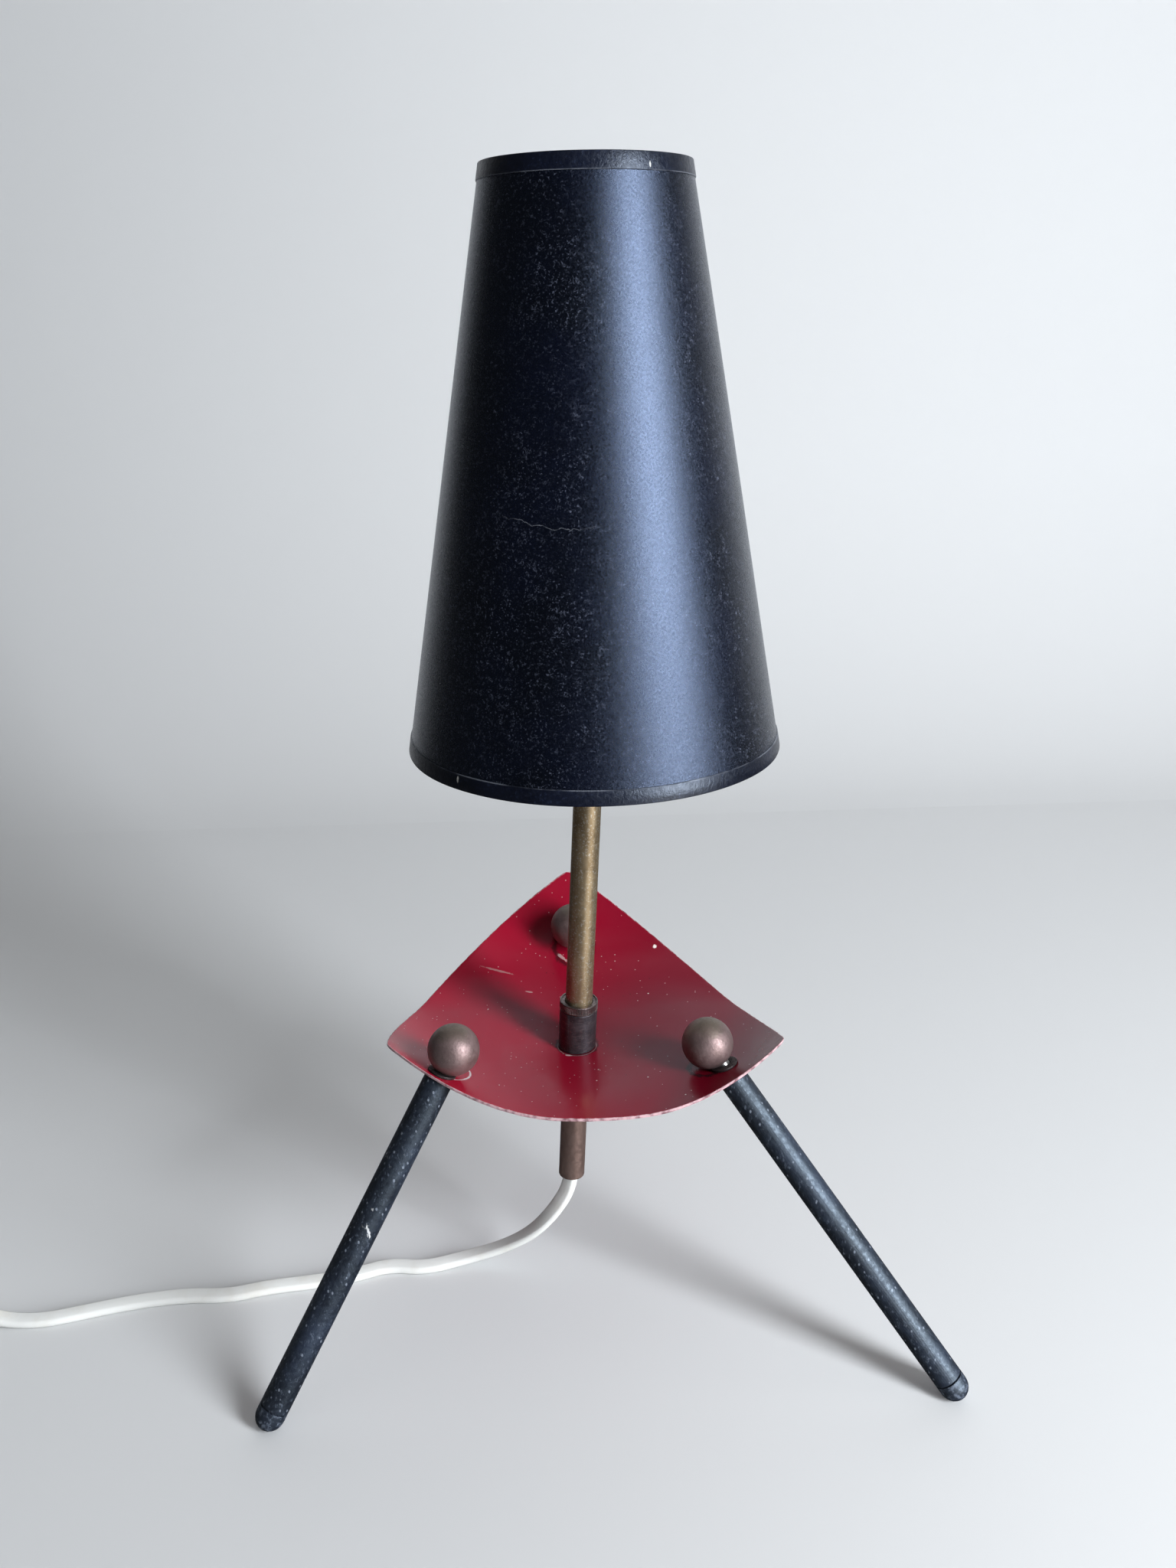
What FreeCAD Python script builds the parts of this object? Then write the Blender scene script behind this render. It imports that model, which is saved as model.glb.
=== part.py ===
"""Tripod table lamp: three splayed legs, a bent sheet base, a sliding stem and a paper shade.

Millimetres and degrees. +Z is up, +X is to the right and +Y is away from the viewer. The origin
lies on the floor, straight under the middle of the base plate. The stem and all that it carries
are built upright in their own frame and then leaned; each leg is built in its own frame too.
"""
import FreeCAD, Part
import math
import os
from collections import namedtuple
from FreeCAD import Placement, Rotation, Vector

# ---- running and fitting clearances, all radial ----
SLIDE_GAP = 0.06            # a piece that slides or turns on another
HOLE_GAP = 0.1              # a bolt or spigot in its hole
GLUE_GAP = 0.05             # paper on wire
TINY = 1e-6                 # rounding only

# ---- base plate: a thin sheet, dished in the middle, its corners curling up over the legs ----
PLATE_Z = 107.7             # top face at the very middle
PLATE_T = 1.2
PLATE_CORNER_R = 1.2
DISH_DEPTH = 3.9
DISH_R = 50.0
FLAP_SPACING = 4.0          # grid on which the sheet's surface is laid

# How far out from the middle each foot stands, and each leg comes through the sheet
LEFT_FOOT_OUT = 132.3
LEFT_SEAT_OUT = 57.3
RIGHT_FOOT_OUT = 148.4
RIGHT_SEAT_OUT = 58.8
REAR_FOOT_OUT = 146.0
REAR_SEAT_OUT = 57.5

# Each corner curls up past curl_start (measured along its own line) with curl_radius. Its tip
# lies at tip_radius and tip_azimuth, and the edge from it to the next tip bows out by bulge.
Leg = namedtuple("Leg", "name azimuth curl_start curl_radius tip_radius tip_azimuth bulge "
                        "foot_out seat_out")
LEGS = [
    Leg("left", -148.2, 34.0, 55.3, 71.8, -161.9, 27.1, LEFT_FOOT_OUT, LEFT_SEAT_OUT),
    Leg("right", -28.3, 42.4, 52.7, 78.8, -22.1, 21.2, RIGHT_FOOT_OUT, RIGHT_SEAT_OUT),
    Leg("rear", 89.2, 20.3, 60.8, 75.5, 90.0, 22.7, REAR_FOOT_OUT, REAR_SEAT_OUT),
]

# ---- legs and their fixings ----
LEG_R = 5.3
LEG_WALL = 1.0
LEG_PLUG_LENGTH = 16.0
FOOT_R = 5.3
FOOT_WORN = 0.15            # height worn flat off the dome
FOOT_RIM = 3.0              # straight part above the dome
FOOT_GROOVE = 0.5
FOOT_SPIGOT = 10.0
STUD_R = 2.5
STUD_IN_LEG = 13.0
STUD_IN_BALL = 11.0
BALL_R = 9.2
BALL_FLAT_R = 3.8           # the ball's own flat underside
WASHER_R = 5.2
WASHER_T = 1.0

# ---- collar, clamp ring and stem, in the stem's frame (0 at the plate's top face) ----
STEM_LEAN = 3.2
STEM_R = 5.0
STEM_WALL = 1.0
STEM_BELOW = 57.8
STEM_ABOVE = 124.6
COLLAR_R = 7.0
COLLAR_TOP = 16.2
COLLAR_SPIGOT_R = 6.1       # through the plate, for the nut
COLLAR_SPIGOT_BELOW = 8.0
COLLAR_NECK_R = 6.2         # thread for the clamp ring
COLLAR_NECK_TOP = 17.6
CONE_BOTTOM = 14.6
CONE_R = 5.65
RING_R = 7.1
RING_BOTTOM = 16.4
RING_TOP = 19.6
RING_LIP = (17.7, 19.2)
RING_LIP_R = 5.3
RING_MOUTH_R = 6.45
RING_TEETH = 54
RING_TOOTH_DEPTH = 0.22
RING_RIM = 0.45             # plain edge above and below the knurl
NUT_T = 4.0
NUT_FLATS = 17.0
NUT_WASHER_R = 9.0
NUT_WASHER_T = 1.0
BUSH_LENGTH = 8.0
BUSH_BORE_R = 3.0

# ---- lampholder, in the stem's frame ----
CAP_BOTTOM = STEM_ABOVE - 8.6
CAP_BOSS_R = 7.5
CAP_FLOOR = CAP_BOTTOM + 6.0
CAP_FLOOR_T = 2.0
CAP_R = 13.0
CAP_TOP = CAP_FLOOR + 10.0
CAP_NECK_TOP = CAP_TOP + 6.0
CAP_NECK_R = 12.2
CAP_BORE_R = 11.2
CORE_BOTTOM = CAP_FLOOR + 4.5
CORE_TOP = CORE_BOTTOM + 13.5
TERMINAL_X = 6.5
TERMINAL_R = 1.6
TERMINAL_DEPTH = 5.0
SHELL_R = 7.6
SHELL_WALL = 0.6
SHELL_TOP = CORE_TOP + 20.0
SKIRT_R = 14.0
SKIRT_TOP = CAP_TOP + 34.0
SKIRT_MOUTH_R = 11.5
SKIRT_FLANGE_R = 16.5
SKIRT_FLANGE_TOP = CAP_TOP + 12.0
SKIRT_FLANGE_T = 2.0
RINGNUT_R = 17.3
RINGNUT_HEIGHT = 5.0
RINGNUT_NOTCHES = 16

# ---- bulb, in the stem's frame ----
BULB_CAP_BOTTOM = CORE_TOP + 3.0
BULB_CAP_TOP = BULB_CAP_BOTTOM + 19.0
BULB_TIP = BULB_CAP_BOTTOM - 2.1
BULB_R = 22.5
BULB_CENTRE = BULB_CAP_TOP + 37.0
BULB_NECK_R = 9.0
BULB_WALL = 0.8

# ---- shade and its tilting carrier ----
PIVOT_RISE = 3.5            # of the tilt pins over the holder's flange
PIVOT_HEIGHT = SKIRT_FLANGE_TOP + PIVOT_RISE
FITTER_T = 1.2
FITTER_R = 19.0
EAR_WIDTH = 8.0
EAR_TOP = PIVOT_HEIGHT + 2.5
EAR_T = 1.5
PIN_R = 1.2
PIN_HEAD_R = 2.2
PIN_HEAD_T = 1.0
HOOP_R = 23.2
HOOP_WALL = 1.5
HOOP_HEIGHT = 6.0
ARM_R = 1.1
ARM_AZIMUTHS = (0.0, 120.0, 240.0)
WIRE_R = 1.2                # top and bottom rings
SHADE_BOTTOM_Z = 229.0
SHADE_TOP_Z = 410.0
SHADE_BOTTOM_R = 63.6
SHADE_TOP_R = 32.1
PAPER_T = 0.6
TAPE_T = 0.35
TAPE_HEIGHT = 4.9

# ---- cord, switch and plug, on the floor to the left ----
CORD_D = 5.8
CORD_R = CORD_D / 2
RELIEF_LENGTH = 20.0        # tapered sleeve where the cord leaves a housing
RELIEF_ROOT_R = 5.0
RELIEF_TIP_R = 3.9
SWITCH_START_X = -252.0
SWITCH_Y = -13.6
SWITCH_LENGTH = 54.0
SWITCH_WIDTH = 24.0
SWITCH_HEIGHT = 15.0
SWITCH_AXIS_Z = 7.0
SWITCH_WALL = 1.6
SWITCH_SCREW_R = 1.25
SWITCH_SCREW_X = 17.0       # each way from the middle
SWITCH_SCREW_Y = 7.0
ROCKER_PIN_R = 1.0
ROCKER_LENGTH = 15.0
ROCKER_WIDTH = 8.0
ROCKER_TILT = 8.0
COIL_PITCH = 6.7            # from turn to turn, and from layer to layer
COIL_OUTER_R = 41.0
COIL_HALF_TURNS = 6         # in the lower of the two layers
COIL_START_X = -352.0
TAIL_LENGTH = 40.0
PLUG_LENGTH = 30.0
PLUG_WIDTH = 24.0
PLUG_HEIGHT = 14.0
PLUG_PIN_R = 2.0
PLUG_PIN_LENGTH = 19.0
PLUG_PIN_SPACING = 18.0

STEM_DOWN = Vector(-math.sin(math.radians(STEM_LEAN)), 0, -math.cos(math.radians(STEM_LEAN)))
STEM_END = Vector(0, 0, PLATE_Z) + STEM_DOWN * STEM_BELOW

# The visible run, from the stem's lower end down to the floor and away to the left.
CORD_RUN = [
    STEM_END,
    STEM_END + STEM_DOWN * 6.4,
    Vector(-11.4, 1.2, 34.4),
    Vector(-21.8, 4.8, 21.6),
    Vector(-34.0, 8.8, 10.8),
    Vector(-49.6, 10.0, 3.8),
    Vector(-65.4, 7.6, CORD_R),
    Vector(-81.3, 4.6, CORD_R),
    Vector(-96.4, 1.2, CORD_R),
    Vector(-111.4, -0.9, CORD_R),
    Vector(-126.4, -2.6, CORD_R),
    Vector(-141.0, -6.0, CORD_R),
    Vector(-156.2, -5.6, CORD_R),
    Vector(-171.0, -6.5, CORD_R),
    Vector(-185.3, -9.2, CORD_R),
    Vector(-199.2, -12.8, CORD_R),
    Vector(-212.6, -15.8, CORD_R),
    Vector(-226.4, -14.6, 3.2),
    Vector(SWITCH_START_X + 12.0, SWITCH_Y, SWITCH_AXIS_Z),
    Vector(SWITCH_START_X, SWITCH_Y, SWITCH_AXIS_Z),
]


# ======== small helpers ========

def sin(angle):
    return math.sin(math.radians(angle))


def cos(angle):
    return math.cos(math.radians(angle))


def cylinder(radius, z0, z1):
    """Upright cylinder between two heights."""
    return Part.makeCylinder(radius, z1 - z0, Vector(0, 0, z0))


def cylinder_at(radius, x, y, z0, z1):
    """Upright cylinder away from the axis."""
    return Part.makeCylinder(radius, z1 - z0, Vector(x, y, z0))


def tube(outer, inner, z0, z1):
    """Upright tube between two heights."""
    return cylinder(outer, z0, z1).cut(cylinder(inner, z0 - 1, z1 + 1))


def box(length, width, z0, z1, x=0.0, y=0.0):
    """Box centred on x, y between two heights."""
    return Part.makeBox(length, width, z1 - z0, Vector(x - length / 2, y - width / 2, z0))


def turned(profile):
    """Solid of revolution about Z from (radius, height) points."""
    points = [Vector(r, 0, z) for r, z in profile]
    face = Part.Face(Part.makePolygon(points + points[:1]))
    return face.revolve(Vector(0, 0, 0), Vector(0, 0, 1), 360)


def torus(radius, wire, z):
    return Part.makeTorus(radius, wire, Vector(0, 0, z))


def slab(z0, z1, size=600.0):
    """Everything between two heights of the lamp's own frame."""
    return box(size, size, z0, z1)


def joined(shapes):
    """One solid from touching shapes."""
    result = shapes[0]
    for shape in shapes[1:]:
        result = result.fuse(shape)
    return result.removeSplitter()


def group(shapes):
    """Separate solids that share one sub-part."""
    return Part.makeCompound(shapes)


def direction(azimuth):
    return Vector(cos(azimuth), sin(azimuth), 0)


# ======== frames ========

STEM_FRAME = Placement(Vector(0, 0, PLATE_Z), Rotation(Vector(0, 1, 0), STEM_LEAN))
PIVOT = STEM_FRAME.multVec(Vector(0, 0, PIVOT_HEIGHT))


def on_stem(shape):
    """Carry a shape from the stem's upright frame to its leaning place."""
    moved = shape.copy()
    moved.Placement = STEM_FRAME.multiply(moved.Placement)
    return moved


def dish_height(x, y):
    """Height of the sheet's top face over its own middle."""
    radius = min(math.hypot(x, y), DISH_R)
    height = DISH_DEPTH * (1 - math.cos(math.pi * radius / DISH_R)) / 2
    for leg in LEGS:
        past = x * cos(leg.azimuth) + y * sin(leg.azimuth) - leg.curl_start
        if past > 0:
            past = min(past, 0.9 * leg.curl_radius)
            height += leg.curl_radius - math.sqrt(leg.curl_radius ** 2 - past ** 2)
    return height


def foot_centre(leg):
    """Middle of the foot's dome, which stands on its worn flat."""
    return direction(leg.azimuth) * leg.foot_out + Vector(0, 0, FOOT_R - FOOT_WORN)


def seat(leg):
    """Where the leg's axis comes through the sheet's top face."""
    spot = direction(leg.azimuth) * leg.seat_out
    return spot + Vector(0, 0, PLATE_Z + dish_height(spot.x, spot.y))


def leg_axis(leg):
    """Direction up along the leg."""
    return (seat(leg) - foot_centre(leg)).normalize()


def sheet_normal(point):
    """Upward normal of the sheet's top face."""
    step = 0.5
    slope_x = dish_height(point.x + step, point.y) - dish_height(point.x - step, point.y)
    slope_y = dish_height(point.x, point.y + step) - dish_height(point.x, point.y - step)
    return Vector(-slope_x, -slope_y, 2 * step).normalize()


def leg_length(leg):
    """From the foot's middle to the seat."""
    return (seat(leg) - foot_centre(leg)).Length


def leg_frame(leg):
    """Frame at the seat: +Z runs up along the leg's axis."""
    return Placement(seat(leg), Rotation(Vector(0, 0, 1), leg_axis(leg)))


def seat_frame(leg):
    """Frame at the seat: +Z stands square to the sheet."""
    return Placement(seat(leg), Rotation(Vector(0, 0, 1), sheet_normal(seat(leg))))


def placed(shape, frame):
    moved = shape.copy()
    moved.Placement = frame.multiply(moved.Placement)
    return moved


def on_leg(shape, leg):
    return placed(shape, leg_frame(leg))


def on_legs(make):
    """The same piece, made for each leg, as separate solids."""
    return group([make(leg) for leg in LEGS])


# ======== base plate ========

def sheet_face():
    """Top face of the sheet before its outline is cut."""
    count = int(110.0 / FLAP_SPACING)
    grid = []
    for i in range(-count, count + 1):
        x = i * FLAP_SPACING
        row = [Vector(x, j * FLAP_SPACING, PLATE_Z + dish_height(x, j * FLAP_SPACING))
               for j in range(-count, count + 1)]
        grid.append(row)
    surface = Part.BSplineSurface()
    surface.interpolate(grid)
    return surface.toShape()


def plate_outline():
    """Prism of the plate's plan: three bowed edges and blunt corners."""
    tips = [direction(leg.tip_azimuth) * leg.tip_radius for leg in LEGS]
    edges = []
    for index, leg in enumerate(LEGS):
        a, b = tips[index], tips[(index + 1) % 3]
        outward = (b - a).normalize().cross(Vector(0, 0, 1))
        edges.append(Part.Arc(a, (a + b) / 2 + outward * leg.bulge, b).toShape())
    prism = Part.Face(Part.Wire(edges)).extrude(Vector(0, 0, 2 * PLATE_Z))
    upright = [e for e in prism.Edges if abs(e.tangentAt(e.FirstParameter).z) > 0.99]
    return prism.makeFillet(PLATE_CORNER_R, upright)


SHEET_FACE = sheet_face()


def over_sheet():
    """Everything above the sheet's underside."""
    face = SHEET_FACE.copy()
    face.translate(Vector(0, 0, -PLATE_T))
    return face.extrude(Vector(0, 0, 60.0))


def under_sheet():
    """Everything below the sheet's top face."""
    return SHEET_FACE.extrude(Vector(0, 0, -60.0))


def base_plate():
    """Curled sheet with a hole for the collar and one for each stud."""
    sheet = SHEET_FACE.extrude(Vector(0, 0, -PLATE_T)).common(plate_outline())
    sheet = sheet.cut(on_stem(cylinder(COLLAR_SPIGOT_R + HOLE_GAP, -20, 20)))
    for leg in LEGS:
        sheet = sheet.cut(on_leg(cylinder(STUD_R + HOLE_GAP, -10, 10), leg))
    return sheet


# ======== legs ========

def leg_tube(leg):
    """Steel tube from the sheet's underside to the foot cap."""
    low = FOOT_RIM + FOOT_GROOVE - leg_length(leg)
    whole = on_leg(tube(LEG_R, LEG_R - LEG_WALL, low, 8), leg)
    return whole.cut(over_sheet())


def leg_plug(leg):
    """Threaded plug in the leg's top end."""
    top = -PLATE_T - LEG_R
    return on_leg(tube(LEG_R - LEG_WALL, STUD_R, top - LEG_PLUG_LENGTH, top), leg)


def leg_stud(leg):
    return on_leg(cylinder(STUD_R, -PLATE_T - LEG_R - STUD_IN_LEG, STUD_IN_BALL), leg)


def leg_washer(leg):
    """Washer that lies on the sheet and follows its curve."""
    washer = placed(cylinder(WASHER_R, -3, WASHER_T), seat_frame(leg))
    washer = washer.cut(on_leg(cylinder(STUD_R + HOLE_GAP, -9, 9), leg))
    return washer.cut(under_sheet())


def ball_centre(leg):
    """Distance up the leg's axis from the seat, where the ball's flat meets the washer."""
    height = WASHER_T + math.sqrt(BALL_R ** 2 - BALL_FLAT_R ** 2)
    return height / leg_axis(leg).dot(sheet_normal(seat(leg)))


def ball_nut(leg):
    """Ball with a small flat underside and a blind threaded hole."""
    ball = on_leg(Part.makeSphere(BALL_R, Vector(0, 0, ball_centre(leg))), leg)
    ball = ball.cut(placed(slab(-30, WASHER_T, 80), seat_frame(leg)))
    return ball.cut(on_leg(cylinder(STUD_R, -5, STUD_IN_BALL), leg))


def foot_cap(leg):
    """Domed cap with a groove at the leg's end and a spigot inside it."""
    centre = -leg_length(leg)
    rim_top = centre + FOOT_RIM
    cap = joined([
        Part.makeSphere(FOOT_R, Vector(0, 0, centre)),
        cylinder(FOOT_R, centre, rim_top),
        cylinder(LEG_R - LEG_WALL, centre, rim_top + FOOT_GROOVE + FOOT_SPIGOT),
    ])
    return on_leg(cap, leg).cut(slab(-50, 0))


# ======== collar and clamp ring ========

def collar():
    """Turned socket that guides the stem, with a threaded spigot through the plate."""
    body = cylinder(COLLAR_R, -5, COLLAR_TOP).fuse(cylinder(COLLAR_NECK_R, 0, COLLAR_NECK_TOP))
    body = on_stem(body).cut(under_sheet())
    body = body.fuse(on_stem(cylinder(COLLAR_SPIGOT_R, -COLLAR_SPIGOT_BELOW, 2)))
    bore = cylinder(STEM_R + SLIDE_GAP, -30, 30).fuse(cylinder(CONE_R, CONE_BOTTOM, 30))
    return body.cut(on_stem(bore)).removeSplitter()


def clamp_cone():
    """Split ring that the clamp ring squeezes onto the stem."""
    cone = tube(CONE_R - SLIDE_GAP, STEM_R + SLIDE_GAP / 2, CONE_BOTTOM + 0.05, COLLAR_NECK_TOP)
    slit = box(4, 1.0, CONE_BOTTOM - 1, COLLAR_NECK_TOP + 1, x=-6)
    return on_stem(cone.cut(slit))


def clamp_ring():
    """Knurled ring on the collar's neck, with a shallow mouth round the stem."""
    def tooth(index):
        angle = index * 180.0 / RING_TEETH
        return direction(angle) * (RING_R - (index % 2) * RING_TOOTH_DEPTH)

    points = [tooth(i) for i in range(2 * RING_TEETH)]
    band = Part.Face(Part.makePolygon(points + points[:1]))
    band = band.extrude(Vector(0, 0, RING_TOP - RING_BOTTOM - 2 * RING_RIM))
    band.translate(Vector(0, 0, RING_BOTTOM + RING_RIM))
    ring = joined([
        band,
        cylinder(RING_R, RING_BOTTOM, RING_BOTTOM + RING_RIM),
        cylinder(RING_R, RING_TOP - RING_RIM, RING_TOP),
    ])
    low, high = RING_LIP
    ring = ring.cut(cylinder(COLLAR_NECK_R + SLIDE_GAP, RING_BOTTOM - 1, low))
    ring = ring.cut(cylinder(RING_LIP_R, low - 1, high + 1))
    return on_stem(ring.cut(cylinder(RING_MOUTH_R, high, RING_TOP + 1)))


def collar_washer():
    """Washer under the sheet, shaped to it."""
    washer = on_stem(cylinder(NUT_WASHER_R, -PLATE_T - NUT_WASHER_T, 3))
    washer = washer.cut(on_stem(cylinder(COLLAR_SPIGOT_R + HOLE_GAP, -20, 20)))
    return washer.cut(over_sheet())


def collar_nut():
    """Thin hexagon nut that pulls the collar down on the plate."""
    radius = NUT_FLATS / 2 / cos(30)
    corners = [direction(60 * i) * radius for i in range(7)]
    nut = Part.Face(Part.makePolygon(corners)).extrude(Vector(0, 0, NUT_T))
    nut.translate(Vector(0, 0, -PLATE_T - NUT_WASHER_T - NUT_T))
    return on_stem(nut.cut(cylinder(COLLAR_SPIGOT_R, -30, 30)))


# ======== stem and lampholder ========

def stem_tube():
    return on_stem(tube(STEM_R, STEM_R - STEM_WALL, -STEM_BELOW, STEM_ABOVE))


def outlet_bush():
    """Insulating sleeve inside the stem's lower end, where the cord comes out."""
    return on_stem(tube(STEM_R - STEM_WALL, BUSH_BORE_R, -STEM_BELOW, BUSH_LENGTH - STEM_BELOW))


def inner_flex():
    """The cord's own length inside the stem, up to the lampholder's terminals."""
    start = -STEM_BELOW
    return on_stem(cylinder(BUSH_BORE_R - HOLE_GAP, start, CORE_BOTTOM))


def holder_cap():
    """Lower cup of the lampholder, screwed on the stem's top end."""
    floor_top = CAP_FLOOR + CAP_FLOOR_T
    cup = turned([
        (STEM_R, CAP_BOTTOM), (CAP_BOSS_R, CAP_BOTTOM), (CAP_BOSS_R, CAP_FLOOR),
        (CAP_R, CAP_FLOOR), (CAP_R, CAP_TOP), (CAP_NECK_R, CAP_TOP),
        (CAP_NECK_R, CAP_NECK_TOP), (CAP_BORE_R, CAP_NECK_TOP), (CAP_BORE_R, floor_top),
        (STEM_R, floor_top),
    ])
    return on_stem(cup)


def holder_core():
    """Insulating core: it stands in the cup and carries the contacts."""
    core = cylinder(CAP_BORE_R, CORE_BOTTOM, CORE_TOP)
    foot = tube(CAP_BORE_R, CAP_BORE_R - 1.5, CAP_FLOOR + CAP_FLOOR_T, CORE_BOTTOM)
    core = core.fuse(foot)
    for x in (-TERMINAL_X, TERMINAL_X):
        core = core.cut(cylinder_at(TERMINAL_R, x, 0, CORE_BOTTOM - 1, CORE_BOTTOM + TERMINAL_DEPTH))
    return on_stem(core.removeSplitter())


def terminal_screws():
    """The two screws that hold the cord's wires."""
    screws = []
    for x in (-TERMINAL_X, TERMINAL_X):
        shank = cylinder_at(TERMINAL_R, x, 0, CORE_BOTTOM, CORE_BOTTOM + TERMINAL_DEPTH)
        head = cylinder_at(TERMINAL_R + 0.9, x, 0, CORE_BOTTOM - 1.6, CORE_BOTTOM)
        screws.append(shank.fuse(head).removeSplitter())
    return on_stem(group(screws))


def screw_shell():
    """Threaded metal shell that the bulb screws into."""
    shell = tube(SHELL_R, SHELL_R - SHELL_WALL, CORE_TOP, SHELL_TOP)
    foot = tube(SHELL_R + 2.0, 4.0, CORE_TOP, CORE_TOP + SHELL_WALL)
    return on_stem(shell.fuse(foot).removeSplitter())


def centre_contact():
    """Small bowed tongue that presses on the bulb's tip."""
    pad = cylinder(1.8, CORE_TOP, BULB_TIP)
    return on_stem(pad)


def holder_skirt():
    """Outer sleeve with a flange for the shade's carrier."""
    flange_low = SKIRT_FLANGE_TOP - SKIRT_FLANGE_T
    skirt = turned([
        (CAP_NECK_R, CAP_TOP), (SKIRT_R, CAP_TOP), (SKIRT_R, flange_low),
        (SKIRT_FLANGE_R, flange_low), (SKIRT_FLANGE_R, SKIRT_FLANGE_TOP),
        (SKIRT_R, SKIRT_FLANGE_TOP), (SKIRT_R, SKIRT_TOP), (SKIRT_MOUTH_R, SKIRT_TOP),
        (SKIRT_MOUTH_R, SKIRT_TOP - 1.5), (CAP_NECK_R, SKIRT_TOP - 1.5),
    ])
    return on_stem(skirt)


def shade_ring_nut():
    """Notched ring that clamps the carrier on the skirt's flange."""
    low = SKIRT_FLANGE_TOP + FITTER_T + SLIDE_GAP
    ring = tube(RINGNUT_R, SKIRT_R + SLIDE_GAP, low, low + RINGNUT_HEIGHT)
    for index in range(RINGNUT_NOTCHES):
        spot = direction(index * 360.0 / RINGNUT_NOTCHES) * (RINGNUT_R + 0.5)
        ring = ring.cut(cylinder_at(1.1, spot.x, spot.y, low - 1, low + RINGNUT_HEIGHT + 1))
    return on_stem(ring)


# ======== bulb ========

def bulb_cap():
    """Screw cap of the bulb, a running fit in the threaded shell."""
    radius = SHELL_R - SHELL_WALL - HOLE_GAP
    cap = turned([
        (4.5, BULB_CAP_BOTTOM), (radius, BULB_CAP_BOTTOM + 2), (radius, BULB_CAP_TOP),
        (radius - 0.4, BULB_CAP_TOP), (radius - 0.4, BULB_CAP_BOTTOM + 2.2),
        (4.5, BULB_CAP_BOTTOM + 0.5),
    ])
    return on_stem(cap)


def bulb_tip():
    """Insulating disc with the centre contact."""
    disc = cylinder(4.5, BULB_CAP_BOTTOM - 0.8, BULB_CAP_BOTTOM + 0.5)
    return on_stem(disc.fuse(cylinder(2.2, BULB_TIP, BULB_CAP_BOTTOM)).removeSplitter())


def bulb_outline(wall):
    """Outside or, with a wall, inside of the glass: a ball on a flared neck."""
    ball = Part.makeSphere(BULB_R - wall, Vector(0, 0, BULB_CENTRE))
    low = BULB_CAP_TOP - 6.0
    neck_r = SHELL_R - SHELL_WALL - HOLE_GAP - 0.4 - wall
    neck = cylinder(neck_r, low, BULB_CAP_TOP)
    join_z = BULB_CENTRE - 0.8 * BULB_R
    flare = Part.makeCone(neck_r, 0.6 * BULB_R - wall, join_z - BULB_CAP_TOP,
                          Vector(0, 0, BULB_CAP_TOP))
    return joined([neck, flare, ball])


def bulb_glass():
    return on_stem(bulb_outline(0.0).cut(bulb_outline(BULB_WALL)))


def bulb_mount():
    """Glass stem inside the bulb that carries the filament's wires."""
    low = BULB_CAP_TOP - 6.0
    mount = turned([
        (0, low), (SHELL_R - SHELL_WALL - HOLE_GAP - 0.4 - BULB_WALL, low),
        (2.6, low + 8), (2.0, low + 30), (0, low + 30),
    ])
    return on_stem(mount)


def bulb_filament():
    """Two support wires and the filament between them."""
    low = BULB_CAP_TOP - 6.0 + 30
    legs = [Part.makeCylinder(0.4, 14, Vector(0, 0, low - 1), Vector(s * 0.45, 0, 0.9))
            for s in (-1, 1)]
    tips = Vector(0.45, 0, 0.9).normalize() * 14 + Vector(0, 0, low - 1)
    bridge = Part.makeCylinder(0.5, 2 * tips.x, Vector(-tips.x, 0, tips.z - 0.4), Vector(1, 0, 0))
    return on_stem(joined([*legs, bridge]))


# ======== shade carrier ========

def fitter():
    """Flat ring on the holder with two ears for the tilt pins."""
    low = SKIRT_FLANGE_TOP + SLIDE_GAP / 2
    parts = [cylinder(FITTER_R, low, low + FITTER_T)]
    for side in (-1, 1):
        tongue = FITTER_R + EAR_T - SKIRT_R
        parts.append(box(EAR_WIDTH, tongue, low, low + FITTER_T, y=side * (SKIRT_R + tongue / 2)))
        parts.append(box(EAR_WIDTH, EAR_T, low, EAR_TOP, y=side * (FITTER_R + EAR_T / 2)))
    ring = joined(parts).cut(cylinder(SKIRT_R + SLIDE_GAP, low - 1, EAR_TOP + 1))
    pin_hole = Part.makeCylinder(PIN_R, 4 * FITTER_R, Vector(0, -2 * FITTER_R, PIVOT_HEIGHT),
                                 Vector(0, 1, 0))
    return on_stem(ring.cut(pin_hole))


def tilt_pins():
    """Two headed pins, fixed in the ears, that the hoop turns on."""
    pins = []
    for side in (-1, 1):
        start = Vector(0, side * FITTER_R, PIVOT_HEIGHT)
        shank = Part.makeCylinder(PIN_R, HOOP_R + 0.2 - FITTER_R, start, Vector(0, side, 0))
        head_at = Vector(0, side * (HOOP_R + 0.2), PIVOT_HEIGHT)
        head = Part.makeCylinder(PIN_HEAD_R, PIN_HEAD_T, head_at, Vector(0, side, 0))
        pins.append(shank.fuse(head).removeSplitter())
    return on_stem(group(pins))


# ======== shade ========

def shade_radius(z):
    """Outside radius of the shade at a height."""
    share = (z - SHADE_BOTTOM_Z) / (SHADE_TOP_Z - SHADE_BOTTOM_Z)
    return SHADE_BOTTOM_R + share * (SHADE_TOP_R - SHADE_BOTTOM_R)


def at_pivot(shape):
    """The shade is built upright on the Z axis and hangs from the tilt pins."""
    moved = shape.copy()
    moved.translate(Vector(PIVOT.x, 0, 0))
    return moved


def cone_band(offset_out, offset_in, z0, z1):
    """Conical band between two offsets inside the shade's outside surface."""
    return turned([
        (shade_radius(z0) - offset_out, z0), (shade_radius(z1) - offset_out, z1),
        (shade_radius(z1) - offset_in, z1), (shade_radius(z0) - offset_in, z0),
    ])


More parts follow.
